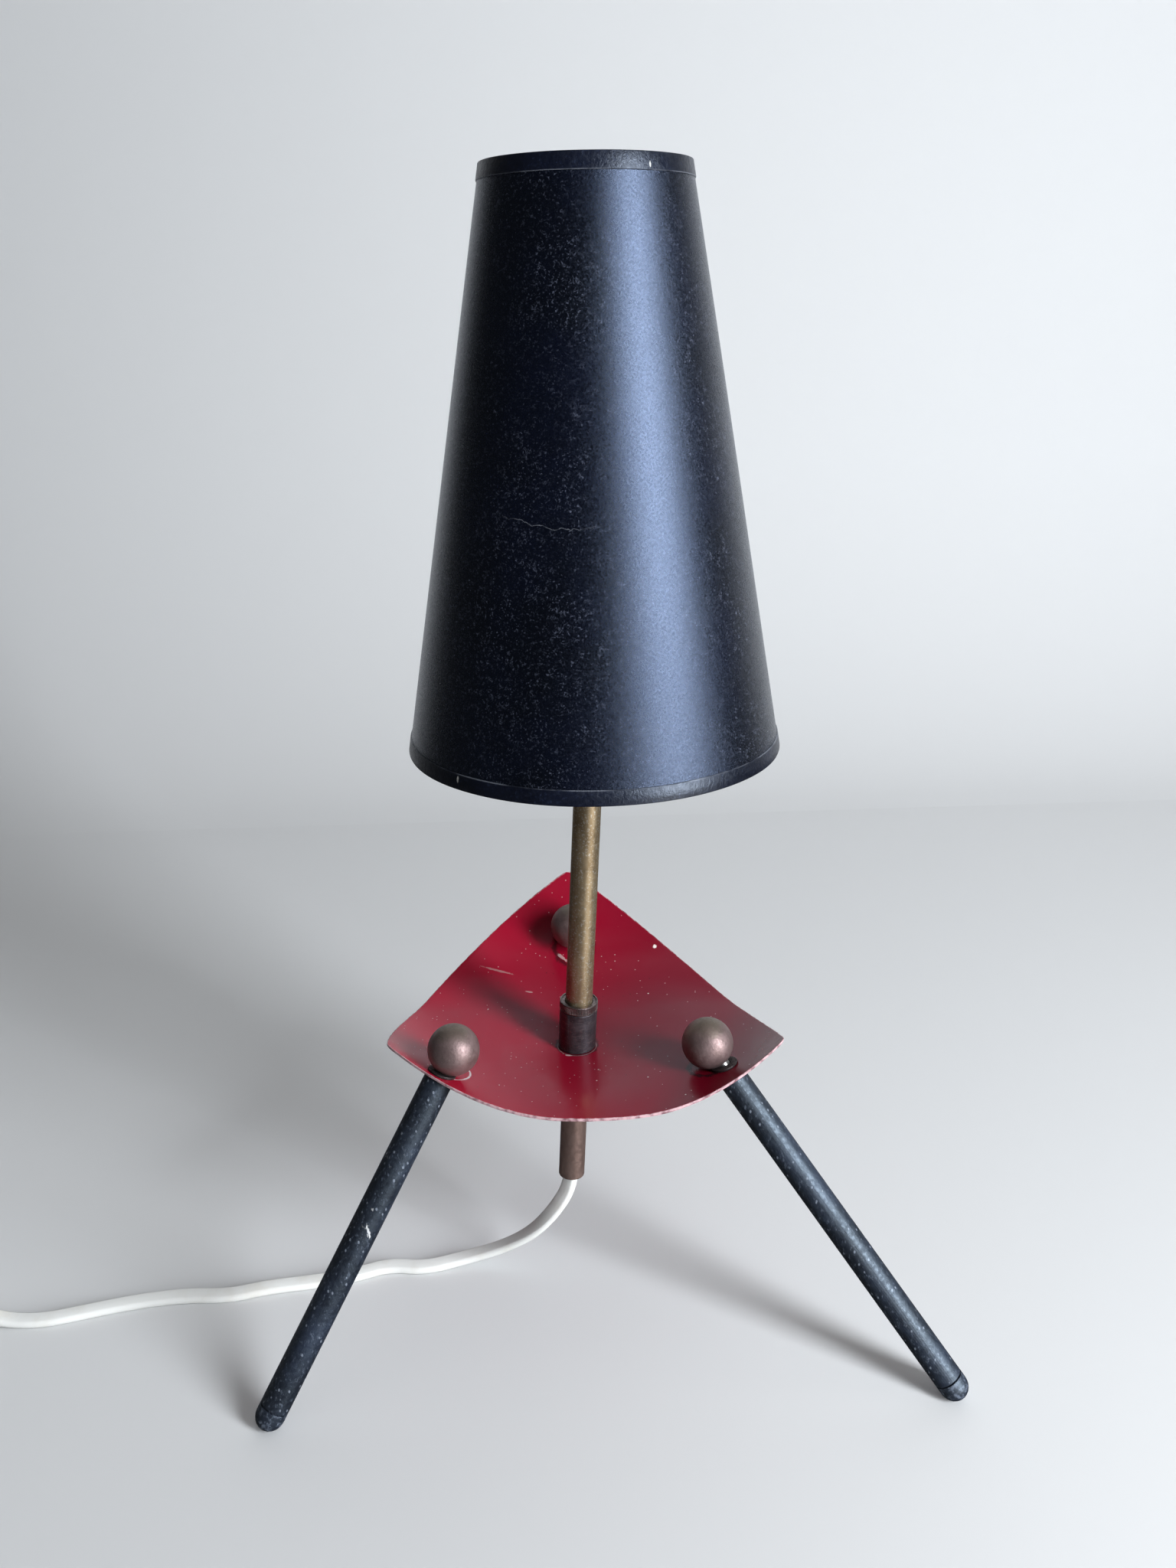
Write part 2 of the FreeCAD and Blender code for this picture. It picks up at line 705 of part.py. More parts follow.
def shade_paper():
    return at_pivot(cone_band(TAPE_T, TAPE_T + PAPER_T, SHADE_BOTTOM_Z + TAPE_T,
                              SHADE_TOP_Z - TAPE_T))


def shade_tape(edge_z, inward):
    """Tape folded over one edge of the paper: a band outside and a lip over the edge."""
    band = cone_band(0, TAPE_T, *sorted((edge_z, edge_z + inward * TAPE_HEIGHT)))
    lip = cone_band(0, TAPE_T + PAPER_T + 1.0, *sorted((edge_z, edge_z + inward * TAPE_T)))
    return at_pivot(band.fuse(lip).removeSplitter())


def ring_place(edge_z, inward):
    """Radius and height of a wire ring just inside the paper's edge."""
    z = edge_z + inward * (TAPE_T + WIRE_R + GLUE_GAP)
    slope = (SHADE_BOTTOM_R - SHADE_TOP_R) / (SHADE_TOP_Z - SHADE_BOTTOM_Z)
    inside = shade_radius(z) - TAPE_T - PAPER_T
    return inside - (WIRE_R + GLUE_GAP) * math.sqrt(1 + slope ** 2), z


def shade_top_ring():
    radius, z = ring_place(SHADE_TOP_Z, -1)
    return at_pivot(torus(radius, WIRE_R, z))


def shade_bottom_ring():
    radius, z = ring_place(SHADE_BOTTOM_Z, 1)
    return at_pivot(torus(radius, WIRE_R, z))


def shade_hoop():
    """Flat hoop that turns on the tilt pins."""
    low = PIVOT.z - HOOP_HEIGHT / 2
    hoop = tube(HOOP_R, HOOP_R - HOOP_WALL, low, low + HOOP_HEIGHT)
    hole = Part.makeCylinder(PIN_R + SLIDE_GAP, 4 * HOOP_R, Vector(0, -2 * HOOP_R, PIVOT.z),
                             Vector(0, 1, 0))
    return at_pivot(hoop.cut(hole))


def shade_arms():
    """Three wires, brazed at the hoop and at the bottom ring."""
    ring_radius, ring_z = ring_place(SHADE_BOTTOM_Z, 1)
    arms = []
    for azimuth in ARM_AZIMUTHS:
        start = direction(azimuth) * (HOOP_R - HOOP_WALL) + Vector(0, 0, PIVOT.z - ARM_R)
        end = direction(azimuth) * ring_radius + Vector(0, 0, ring_z)
        arm = Part.makeCylinder(ARM_R, (end - start).Length, start, end - start)
        arm = arm.cut(cylinder(HOOP_R, PIVOT.z - HOOP_R, PIVOT.z + HOOP_R))
        arms.append(arm.cut(torus(ring_radius, WIRE_R, ring_z)))
    return at_pivot(group(arms))


# ======== cord ========

def tangent_arc(start, heading, end):
    """Arc that leaves start along heading and reaches end."""
    chord = end - start
    across = heading - chord * (heading.dot(chord) / chord.Length ** 2)
    half = heading.getAngle(chord) / 2
    middle = start + chord * 0.5
    if across.Length > 1e-9:
        middle += across.normalize() * (chord.Length / 2 * math.tan(half))
    return Part.Arc(start, middle, end).toShape()


def biarc(start, heading, end, arrival):
    """Two arcs from one place and heading to another."""
    step = end - start
    total = heading + arrival
    a = 2 * (heading.dot(arrival) - 1)
    b = -2 * step.dot(total)
    c = step.Length ** 2
    if abs(a) < 1e-9:
        reach = -c / b
    else:
        reach = (-b - math.sqrt(b * b - 4 * a * c)) / (2 * a)
    joint = (start + end + (heading - arrival) * reach) / 2
    turn = (end - arrival * reach) - (start + heading * reach)
    return [tangent_arc(start, heading, joint), tangent_arc(joint, turn.normalize(), end)]


def swept(edges, heading, radius=CORD_R):
    """Round tube along a smooth chain of edges."""
    start = edges[0].valueAt(edges[0].FirstParameter)
    ring = Part.Wire(Part.makeCircle(radius, start, heading))
    return Part.Wire(edges).makePipeShell([ring], True, False)


def run_edges():
    """Straight pieces joined by tangent arcs, each as large as its runs allow."""
    edges, radii = [], []
    last = CORD_RUN[0]
    for before, corner, after in zip(CORD_RUN, CORD_RUN[1:], CORD_RUN[2:]):
        back, ahead = before - corner, after - corner
        half_turn = (math.pi - back.getAngle(ahead)) / 2
        cut = 0.45 * min(back.Length, ahead.Length)
        radii.append(cut / math.tan(half_turn))
        enter = corner + back.normalize() * cut
        leave = corner + ahead.normalize() * cut
        edges.append(Part.makeLine(last, enter))
        edges.append(tangent_arc(enter, (corner - enter).normalize(), leave))
        last = leave
    edges.append(Part.makeLine(last, CORD_RUN[-1]))
    return edges, radii


def cord_run():
    """Visible run from the stem's lower end to the switch."""
    edges, radii = run_edges()
    solid = swept(edges, CORD_RUN[1] - CORD_RUN[0])
    length = sum(edge.Length for edge in edges)
    share = solid.Volume / (math.pi * CORD_R ** 2 * length)
    print("cord run: length %.1f, volume share %.4f, radii" % (length, share),
          " ".join("%.0f" % r for r in radii))
    return solid


def coil_radii():
    """Radius of each half turn: in along the lower layer, a climb, out along the upper."""
    inward = [COIL_OUTER_R - k * COIL_PITCH / 2 for k in range(COIL_HALF_TURNS)]
    climb = COIL_OUTER_R - COIL_HALF_TURNS * COIL_PITCH / 2
    return inward + [climb] + inward[:0:-1]


def coil_edges():
    """Switch to coil, half turns in, up and out again, and the tail to the plug."""
    place = Vector(SWITCH_START_X - SWITCH_LENGTH, SWITCH_Y, SWITCH_AXIS_Z)
    heading = Vector(-1, 0, 0)
    straight = place + heading * CORD_D
    start = Vector(COIL_START_X, SWITCH_Y, CORD_R)
    edges = [Part.makeLine(place, straight)]
    edges += biarc(straight, heading, start, heading)
    place, side = start, 1.0
    for index, radius in enumerate(coil_radii()):
        lift = COIL_PITCH if index == COIL_HALF_TURNS else 0.0
        end = place + Vector(0, side * 2 * radius, lift)
        edges += biarc(place, heading, end, heading * -1)
        place, heading, side = end, heading * -1, -side
    low = plug_place() - heading * CORD_D
    edges += biarc(place, heading, low, heading)
    edges.append(Part.makeLine(low, low + heading * CORD_D))
    return edges


def least_gap(edges):
    """Smallest distance from the tube to itself, on points a few millimetres apart."""
    points, places, run = [], [], 0.0
    for edge in edges:
        count = max(2, int(edge.Length / 2.0))
        for point in edge.discretize(count)[:-1]:
            points.append(point)
        places += [run + edge.Length * i / (count - 1) for i in range(count - 1)]
        run += edge.Length
    least = 1e9
    for i, first in enumerate(points):
        for j in range(i + 1, len(points)):
            if places[j] - places[i] > 40.0:
                least = min(least, first.distanceToPoint(points[j]))
    return least - CORD_D


def cord_coil():
    """Length of cord out of sight, coiled flat on the floor between switch and plug."""
    edges = coil_edges()
    solid = swept(edges, Vector(-1, 0, 0))
    length = sum(edge.Length for edge in edges)
    share = solid.Volume / (math.pi * CORD_R ** 2 * length)
    print("cord coil: length %.1f, volume share %.4f, least gap %.2f"
          % (length, share, least_gap(edges)))
    return solid


def point_along(edges, distance):
    """Point a distance along a chain of edges."""
    for edge in edges:
        if distance <= edge.Length + TINY:
            break
        distance -= edge.Length
    return edge.valueAt(edge.getParameterByLength(min(distance, edge.Length)))


def relief(edges, at_end):
    """Tapered sleeve round the cord, from the housing's upright face at one end of it."""
    total = sum(edge.Length for edge in edges)
    root = point_along(edges, total if at_end else 0.0)
    tip = point_along(edges, total - RELIEF_LENGTH if at_end else RELIEF_LENGTH)
    axis = (tip - root).normalize()
    sleeve = Part.makeCone(RELIEF_ROOT_R, RELIEF_TIP_R, RELIEF_LENGTH + 1.0, root - axis, axis)
    back = root.x if axis.x < 0 else root.x - CORD_D
    housing = Part.makeBox(CORD_D, 4 * CORD_D, 4 * CORD_D,
                           Vector(back, root.y - 2 * CORD_D, root.z - 2 * CORD_D))
    near, run = [], 0.0
    for edge in reversed(edges) if at_end else edges:
        near.append(edge)
        run += edge.Length
        if run > RELIEF_LENGTH + 2 * CORD_D:
            break
    near = near[::-1] if at_end else near
    cord = swept(near, near[0].tangentAt(near[0].FirstParameter), CORD_R + SLIDE_GAP)
    return sleeve.cut(housing).cut(cord)


# ======== switch on the cord ========

SWITCH_X = SWITCH_START_X - SWITCH_LENGTH / 2
SWITCH_SCREW_XS = (SWITCH_X - SWITCH_SCREW_X, SWITCH_X + SWITCH_SCREW_X)
ROCKER_PIVOT_Z = SWITCH_HEIGHT - 3.2


def switch_outline(inset, z0, z1):
    """Long body with rounded ends, seen from above."""
    length, width = SWITCH_LENGTH - 2 * inset, SWITCH_WIDTH - 2 * inset
    body = box(length, width, z0, z1, SWITCH_X, SWITCH_Y)
    corners = [e for e in body.Edges if abs(e.tangentAt(e.FirstParameter).z) > 0.99]
    return body.makeFillet(7.0 - inset, corners)


def switch_lower():
    """Lower half: a tray with two cord clamps."""
    tray = switch_outline(0, 0, SWITCH_AXIS_Z)
    tray = tray.cut(switch_outline(SWITCH_WALL, SWITCH_WALL, SWITCH_HEIGHT))
    for x in SWITCH_SCREW_XS:
        tray = tray.fuse(cylinder_at(2.6, x, SWITCH_Y + SWITCH_SCREW_Y, 0, SWITCH_AXIS_Z))
        tray = tray.cut(cylinder_at(SWITCH_SCREW_R, x, SWITCH_Y + SWITCH_SCREW_Y, 0, 30))
    return tray.cut(switch_cord_notch()).removeSplitter()


def switch_cord_notch():
    """Holes for the cord through both end walls, and nothing wider."""
    first = Part.makeCylinder(CORD_R - 0.4, 10, Vector(SWITCH_START_X + 5, SWITCH_Y, SWITCH_AXIS_Z),
                              Vector(-1, 0, 0))
    second = first.copy()
    second.translate(Vector(-SWITCH_LENGTH, 0, 0))
    return first.fuse(second)


def switch_upper():
    """Upper half with the rocker's opening and its two bearings."""
    cover = switch_outline(0, SWITCH_AXIS_Z, SWITCH_HEIGHT)
    cover = cover.cut(switch_outline(SWITCH_WALL, 0, SWITCH_HEIGHT - SWITCH_WALL))
    for x in SWITCH_SCREW_XS:
        post = cylinder_at(2.6, x, SWITCH_Y + SWITCH_SCREW_Y, SWITCH_AXIS_Z, SWITCH_HEIGHT - 1)
        cover = cover.fuse(post)
        cover = cover.cut(cylinder_at(SWITCH_SCREW_R, x, SWITCH_Y + SWITCH_SCREW_Y,
                                      0, SWITCH_HEIGHT - 3))
    for side in (-1, 1):
        y = SWITCH_Y + side * (ROCKER_WIDTH / 2 + 1.3)
        cheek = box(6, 1.8, SWITCH_AXIS_Z + 1.0, SWITCH_HEIGHT - 1, SWITCH_X, y)
        cover = cover.fuse(cheek)
    opening = box(ROCKER_LENGTH + 1.2, ROCKER_WIDTH + 0.8, SWITCH_AXIS_Z, SWITCH_HEIGHT + 1,
                  SWITCH_X, SWITCH_Y)
    cover = cover.cut(opening).cut(switch_cord_notch())
    bearing = Part.makeCylinder(ROCKER_PIN_R + SLIDE_GAP, ROCKER_WIDTH + 4.4,
                                Vector(SWITCH_X, SWITCH_Y - ROCKER_WIDTH / 2 - 2.2, ROCKER_PIVOT_Z),
                                Vector(0, 1, 0))
    return cover.cut(bearing).removeSplitter()


def switch_screws():
    """Two screws from below that hold the halves together."""
    screws = []
    for x in SWITCH_SCREW_XS:
        y = SWITCH_Y + SWITCH_SCREW_Y
        screws.append(cylinder_at(SWITCH_SCREW_R, x, y, 0.4, SWITCH_HEIGHT - 4.5))
    return group(screws)


def switch_rocker():
    """Rocker with two pin stubs, lying in its off position."""
    low, high = SWITCH_HEIGHT - 5.0, SWITCH_HEIGHT + 1.2
    key = box(ROCKER_LENGTH, ROCKER_WIDTH, low, high, SWITCH_X, SWITCH_Y)
    dish = Part.makeCylinder(40, ROCKER_WIDTH + 2,
                             Vector(SWITCH_X, SWITCH_Y - ROCKER_WIDTH / 2 - 1, high + 39.4),
                             Vector(0, 1, 0))
    key = key.cut(dish)
    for side in (-1, 1):
        trim = box(8, ROCKER_WIDTH + 2, low - 10, low, SWITCH_X + side * 7.5, SWITCH_Y)
        trim.rotate(Vector(SWITCH_X, SWITCH_Y, low), Vector(0, 1, 0), -side * 16.0)
        key = key.cut(trim)
    pins = Part.makeCylinder(ROCKER_PIN_R, ROCKER_WIDTH + 3.4,
                             Vector(SWITCH_X, SWITCH_Y - ROCKER_WIDTH / 2 - 1.7, ROCKER_PIVOT_Z),
                             Vector(0, 1, 0))
    rocker = key.fuse(pins).removeSplitter()
    rocker.rotate(Vector(SWITCH_X, SWITCH_Y, ROCKER_PIVOT_Z), Vector(0, 1, 0), -ROCKER_TILT)
    return rocker


# ======== plug ========

def plug_place():
    """Where the cord meets the plug; the plug's own axis runs along -X from there."""
    across = sum(2 * r * (-1) ** k for k, r in enumerate(coil_radii()))
    return Vector(COIL_START_X - TAIL_LENGTH - CORD_D, SWITCH_Y + across, PLUG_HEIGHT / 2)


def plug_body():
    """Flat moulded body that narrows towards the cord."""
    place = plug_place()
    half = PLUG_WIDTH / 2
    plan = [(0, 5.0), (8, 6.0), (14, half), (PLUG_LENGTH, half)]
    outline = [Vector(-x, y, 0) for x, y in plan] + [Vector(-x, -y, 0) for x, y in reversed(plan)]
    body = Part.Face(Part.makePolygon(outline + outline[:1])).extrude(Vector(0, 0, PLUG_HEIGHT))
    upright = [e for e in body.Edges if abs(e.tangentAt(e.FirstParameter).z) > 0.99]
    body = body.makeFillet(1.5, upright)
    body.translate(Vector(place.x, place.y, 0))
    return body


def switch_reliefs():
    """Sleeves on the cord at both ends of the switch."""
    return group([relief(run_edges()[0], True), relief(coil_edges(), False)])


def plug_relief():
    return relief(coil_edges(), True)


def plug_pins():
    """Two round pins with rounded tips."""
    place = plug_place()
    pins = []
    for side in (-1, 1):
        start = Vector(place.x - PLUG_LENGTH, place.y + side * PLUG_PIN_SPACING / 2, place.z)
        reach = PLUG_PIN_LENGTH - PLUG_PIN_R
        shank = Part.makeCylinder(PLUG_PIN_R, reach, start, Vector(-1, 0, 0))
        tip = Part.makeSphere(PLUG_PIN_R, start - Vector(reach, 0, 0))
        pins.append(shank.fuse(tip).removeSplitter())
    return group(pins)


# ======== all pieces ========

def pieces():
    """Every node and its shape."""
    nodes = {
        "base_plate": base_plate(),
        "leg_top_plugs": on_legs(leg_plug),
        "leg_studs": on_legs(leg_stud),
        "ball_washers": on_legs(leg_washer),
        "ball_nuts": on_legs(ball_nut),
        "foot_caps": on_legs(foot_cap),
        "collar": collar(),
        "clamp_cone": clamp_cone(),
        "clamp_ring": clamp_ring(),
        "collar_washer": collar_washer(),
        "collar_nut": collar_nut(),
        "stem_tube": stem_tube(),
        "outlet_bush": outlet_bush(),
        "inner_flex": inner_flex(),
        "holder_cap": holder_cap(),
        "holder_core": holder_core(),
        "terminal_screws": terminal_screws(),
        "screw_shell": screw_shell(),
        "centre_contact": centre_contact(),
        "holder_skirt": holder_skirt(),
        "shade_ring_nut": shade_ring_nut(),
        "bulb_cap": bulb_cap(),
        "bulb_tip": bulb_tip(),
        "bulb_glass": bulb_glass(),
        "bulb_mount": bulb_mount(),
        "bulb_filament": bulb_filament(),
        "fitter": fitter(),
        "tilt_pins": tilt_pins(),
        "shade_hoop": shade_hoop(),
        "shade_arms": shade_arms(),
        "shade_bottom_ring": shade_bottom_ring(),
        "shade_top_ring": shade_top_ring(),
        "shade_paper": shade_paper(),
        "top_tape": shade_tape(SHADE_TOP_Z, -1),
        "bottom_tape": shade_tape(SHADE_BOTTOM_Z, 1),
        "cord_run": cord_run(),
        "cord_coil": cord_coil(),
        "switch_lower": switch_lower(),
        "switch_upper": switch_upper(),
        "switch_screws": switch_screws(),
        "switch_rocker": switch_rocker(),
        "plug_body": plug_body(),
        "switch_reliefs": switch_reliefs(),
        "plug_relief": plug_relief(),
        "plug_pins": plug_pins(),
    }
    for leg in LEGS:
        nodes["leg_" + leg.name] = leg_tube(leg)
    return nodes


os.makedirs("parts", exist_ok=True)
for name, shape in pieces().items():
    solids = shape.Solids
    print("%-16s solids %d  volume %9.1f  valid %s" % (name, len(solids), shape.Volume, shape.isValid()))
    shape.exportStep("parts/%s.step" % name)
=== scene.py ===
"""Looks of a small tripod table lamp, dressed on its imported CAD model. Metres; +Z is up."""
import bpy
import bmesh
import math
import random
from mathutils import Matrix, Vector


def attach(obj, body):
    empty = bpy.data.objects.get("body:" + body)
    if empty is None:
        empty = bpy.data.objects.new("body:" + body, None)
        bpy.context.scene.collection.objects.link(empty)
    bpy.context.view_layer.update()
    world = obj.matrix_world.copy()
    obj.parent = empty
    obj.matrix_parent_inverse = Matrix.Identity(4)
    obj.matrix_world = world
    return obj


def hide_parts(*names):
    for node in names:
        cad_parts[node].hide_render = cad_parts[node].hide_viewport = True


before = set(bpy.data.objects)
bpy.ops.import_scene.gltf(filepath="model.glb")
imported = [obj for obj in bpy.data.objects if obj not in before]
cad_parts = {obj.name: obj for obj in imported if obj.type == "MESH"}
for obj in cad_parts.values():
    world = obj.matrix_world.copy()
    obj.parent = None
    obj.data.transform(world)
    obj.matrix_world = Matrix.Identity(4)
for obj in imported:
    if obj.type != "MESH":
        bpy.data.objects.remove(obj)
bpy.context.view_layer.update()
MM = 0.001


# ==== Table top, wall, daylight and camera ====
# The lamp stands on a pale surface in front of a pale wall, lit by a large window to the
# right of the viewer, who looks a little down on it from in front.
FLOOR_SIZE = 3.0
WALL_BACK = 0.75
SWEEP_RADIUS, SWEEP_STEPS = 0.25, 16
DIM_WALL_TO = -0.8
CAMERA_AT = Vector((-9.34, -421.7, 369.2)) * MM
CAMERA_YAW, CAMERA_PITCH, CAMERA_ROLL = 0.036, 0.3547, -0.017
FOCAL_PIXELS, LONG_SIDE_PIXELS, SENSOR = 1677.5, 2048, 36.0


def placed(name, data):
    """A new object in the scene."""
    item = bpy.data.objects.new(name, data)
    bpy.context.scene.collection.objects.link(item)
    return item


def mesh_piece(name, points, faces):
    """A new object from plain lists of points and faces."""
    mesh = bpy.data.meshes.new(name)
    mesh.from_pydata([tuple(p) for p in points], [], faces)
    mesh.validate()
    return placed(name, mesh)


def joined_rings(rings, count, closed=False):
    """Quads from each ring of count points to the next, and from the last to the first."""
    faces = []
    for ring in range(rings if closed else rings - 1):
        onward = (ring + 1) % rings
        for k in range(count):
            n = (k + 1) % count
            faces.append((ring * count + k, ring * count + n, onward * count + n,
                          onward * count + k))
    return faces


def smoothed(piece, sharp_from=None):
    """Faces turned outwards and shaded smooth, but for edges sharper than some degrees."""
    body = bmesh.new()
    body.from_mesh(piece.data)
    bmesh.ops.recalc_face_normals(body, faces=body.faces)
    body.to_mesh(piece.data)
    body.free()
    piece.data.shade_smooth()
    if sharp_from:
        piece.data.set_sharp_from_angle(angle=math.radians(sharp_from))
    return piece


def new_finish(name, colour, roughness, metallic=0.0, **sockets):
    """A material with its main shader, ready for more nodes."""
    finish = bpy.data.materials.new(name)
    finish.use_nodes = True
    shader = finish.node_tree.nodes["Principled BSDF"]
    shader.inputs["Base Color"].default_value = (*colour, 1)
    shader.inputs["Roughness"].default_value = roughness
    shader.inputs["Metallic"].default_value = metallic
    for socket, value in sockets.items():
        shader.inputs[socket.replace("_", " ")].default_value = value
    return finish


def one_sided_wall():
    """Pale matt paint on the room's inner side; from outside, one looks through it to the lamp."""
    finish = new_finish("pale_studio", (0.72, 0.72, 0.72), 0.9)
    tree = finish.node_tree
    side = tree.nodes.new("ShaderNodeNewGeometry")
    clear = tree.nodes.new("ShaderNodeBsdfTransparent")
    mix = tree.nodes.new("ShaderNodeMixShader")
    tree.links.new(side.outputs["Backfacing"], mix.inputs[0])
    tree.links.new(tree.nodes["Principled BSDF"].outputs[0], mix.inputs[1])
    tree.links.new(clear.outputs[0], mix.inputs[2])
    tree.links.new(mix.outputs[0], tree.nodes["Material Output"].inputs["Surface"])
    return finish


PALE_WALL = one_sided_wall()


def make_studio():
    """Floor, and a wall that sweeps up from it behind the lamp.

    The satin pieces mirror the wall behind them and to the right. The floor and the wall on the
    left stay out of their gloss, as the dim room does in the photograph."""
    bends = [math.radians(90 * k / SWEEP_STEPS) for k in range(SWEEP_STEPS + 1)]
    sweep = [(WALL_BACK - SWEEP_RADIUS * (1 - math.sin(bend)), SWEEP_RADIUS * (1 - math.cos(bend)))
             for bend in bends]
    high_wall = sweep + [(WALL_BACK, FLOOR_SIZE * 0.7)]
    for name, profile, left, right in (
            ("floor", [(-FLOOR_SIZE / 2, 0.0), sweep[0]], -FLOOR_SIZE, FLOOR_SIZE),
            ("wall_dim", high_wall, -FLOOR_SIZE, DIM_WALL_TO),
            ("wall", high_wall, DIM_WALL_TO, FLOOR_SIZE)):
        points, faces = [], []
        for y, z in profile:
            points += [(left, y, z), (right, y, z)]
        for i in range(len(profile) - 1):
            faces.append((2 * i, 2 * i + 1, 2 * i + 3, 2 * i + 2))
        sheet = mesh_piece("studio_" + name, points, faces)
        sheet.data.shade_smooth()
        sheet.data.materials.append(PALE_WALL)
        sheet.visible_glossy = name == "wall"


def window_light(name, at, target, width, height, watts, colour):
    """A soft rectangular light turned to the lamp."""
    light = bpy.data.lights.new(name, "AREA")
    light.shape = "RECTANGLE"
    light.size, light.size_y = width, height
    light.energy = watts
    light.color = colour
    lamp = placed(name, light)
    lamp.location = at
    lamp.rotation_euler = (Vector(target) - Vector(at)).to_track_quat("-Z", "Y").to_euler()
    lamp.visible_camera = False


make_studio()
window_light("window_right", (0.92, -0.86, 0.62), (0.0, 0.0, 0.28), 0.34, 0.95, 33.0,
             (0.9, 0.95, 1.0))
window_light("ceiling", (0.5, -0.1, 2.3), (0.1, 0.1, 0.0), 1.6, 1.6, 6.5, (1.0, 0.98, 0.95))
window_light("white_card", (0.34, -0.4, 0.03), (0.02, 0.0, 0.16), 0.4, 0.3, 0.8,
             (1.0, 0.95, 0.9))

world = bpy.data.worlds.new("room")
bpy.context.scene.world = world
world.use_nodes = True
room_light = world.node_tree.nodes["Background"].inputs
room_light["Color"].default_value = (0.9, 0.93, 1.0, 1)
room_light["Strength"].default_value = 0.05
bpy.context.scene.view_settings.view_transform = "Standard"


def make_camera():
    """The photograph's own camera."""
    down, turn, roll = CAMERA_PITCH, CAMERA_YAW, CAMERA_ROLL
    forward = Vector((math.sin(turn) * math.cos(down), math.cos(turn) * math.cos(down),
                      -math.sin(down)))
    level = Vector((math.cos(turn), -math.sin(turn), 0))
    upright = level.cross(forward)
    right = level * math.cos(roll) + upright * math.sin(roll)
    up = upright * math.cos(roll) - level * math.sin(roll)
    camera_data = bpy.data.cameras.new("camera")
    camera_data.sensor_width = SENSOR
    camera_data.lens = FOCAL_PIXELS * SENSOR / LONG_SIDE_PIXELS
    camera_data.clip_start = 0.01
    camera = placed("camera", camera_data)
    camera.matrix_world = Matrix((
        (right.x, up.x, -forward.x, CAMERA_AT.x),
        (right.y, up.y, -forward.y, CAMERA_AT.y),
        (right.z, up.z, -forward.z, CAMERA_AT.z),
        (0, 0, 0, 1)))
    bpy.context.scene.camera = camera


make_camera()


# ==== Cord ====
# A flat two-core cord, moulded in white PVC with a shallow groove along both sides. It comes
# out of the stem's lower end, falls to the floor and runs off to the left in lazy bends; the
# rest is wound flat behind its switch.
CORD_WIDTH, CORD_THICK = 6.2 * MM, 4.0 * MM
CORD_LIES_AT = CORD_THICK / 2 + 0.05 * MM
STEM_LEAN = math.radians(3.2)
PLATE_Z = 107.7 * MM
STEM_BELOW = 57.8 * MM
STEM_UP = Vector((math.sin(STEM_LEAN), 0, math.cos(STEM_LEAN)))
STEM_END = Vector((0, 0, PLATE_Z)) - STEM_UP * STEM_BELOW
SWITCH_START = Vector((-252.0, -13.6, 7.0)) * MM
SWITCH_LENGTH = 54.0 * MM
COIL_START_X = -352.0 * MM
COIL_OUTER, COIL_PITCH = 41.0 * MM, 6.7 * MM
COIL_HALF_TURNS, POINTS_IN_HALF_TURN = 6, 8
COIL_LAYER = 4.2 * MM
LEAN_LYING, LEAN_FALLING = math.radians(8), math.radians(52)
PLUG_START = Vector((-397.8, -13.6, 7.0)) * MM

cord_run_route = [STEM_END + STEM_UP * 4 * MM, STEM_END - STEM_UP * 5.6 * MM] + [
    Vector(p) * MM for p in (
        (-10.4, 0.8, 31.4), (-19.8, 3.8, 18.4), (-33.2, 7.8, 8.2), (-49.4, 9.0, 2.6),
        (-64.4, 4.8, 2.2), (-78.6, 7.6, 2.2), (-92.8, 2.2, 2.2), (-108.4, -0.6, 2.2),
        (-126.4, -2.4, 2.2), (-141.0, -6.4, 2.2), (-156.2, -5.2, 2.2), (-171.0, -6.5, 2.2),
        (-185.3, -9.2, 2.2), (-199.2, -12.8, 2.2), (-212.6, -15.8, 2.2), (-226.4, -14.6, 2.4),
        (-240.0, -13.6, 7.0), (-253.0, -13.6, 7.0))]


def coil_route():
    """Switch to coil, in along the lower layer, up, out along the upper one, tail to the plug."""
    start = SWITCH_START - Vector((SWITCH_LENGTH, 0, 0))
    route = [start + Vector((1 * MM, 0, 0)), start - Vector((6 * MM, 0, 0)),
             Vector((start.x - 22 * MM, start.y, 4.4 * MM)),
             Vector((COIL_START_X + 10 * MM, start.y, CORD_LIES_AT))]
    inward = [COIL_OUTER - k * COIL_PITCH / 2 for k in range(COIL_HALF_TURNS)]
    radii = inward + [COIL_OUTER - COIL_HALF_TURNS * COIL_PITCH / 2] + inward[:0:-1]
    end_y, side, height = start.y, 1, CORD_LIES_AT
    for index, radius in enumerate(radii):
        centre = end_y + side * radius
        climb = COIL_LAYER if index == COIL_HALF_TURNS else 0.0
        wide = radius / math.cos(math.pi / 2 / POINTS_IN_HALF_TURN) ** 0.5
        for step in range(POINTS_IN_HALF_TURN):
            part = (step + 0.5) / POINTS_IN_HALF_TURN
            angle = math.pi * part
            route.append(Vector((COIL_START_X - side * wide * math.sin(angle),
                                 centre - side * wide * math.cos(angle),
                                 height + climb * part * part * (3 - 2 * part))))
        end_y += side * 2 * radius
        side, height = -side, height + climb
    route += [Vector((COIL_START_X - 8 * MM, end_y, height)),
              Vector((COIL_START_X - 22 * MM, end_y, height + 0.8 * MM)),
              PLUG_START + Vector((7 * MM, 0, 0)), PLUG_START - Vector((1 * MM, 0, 0))]
    return route


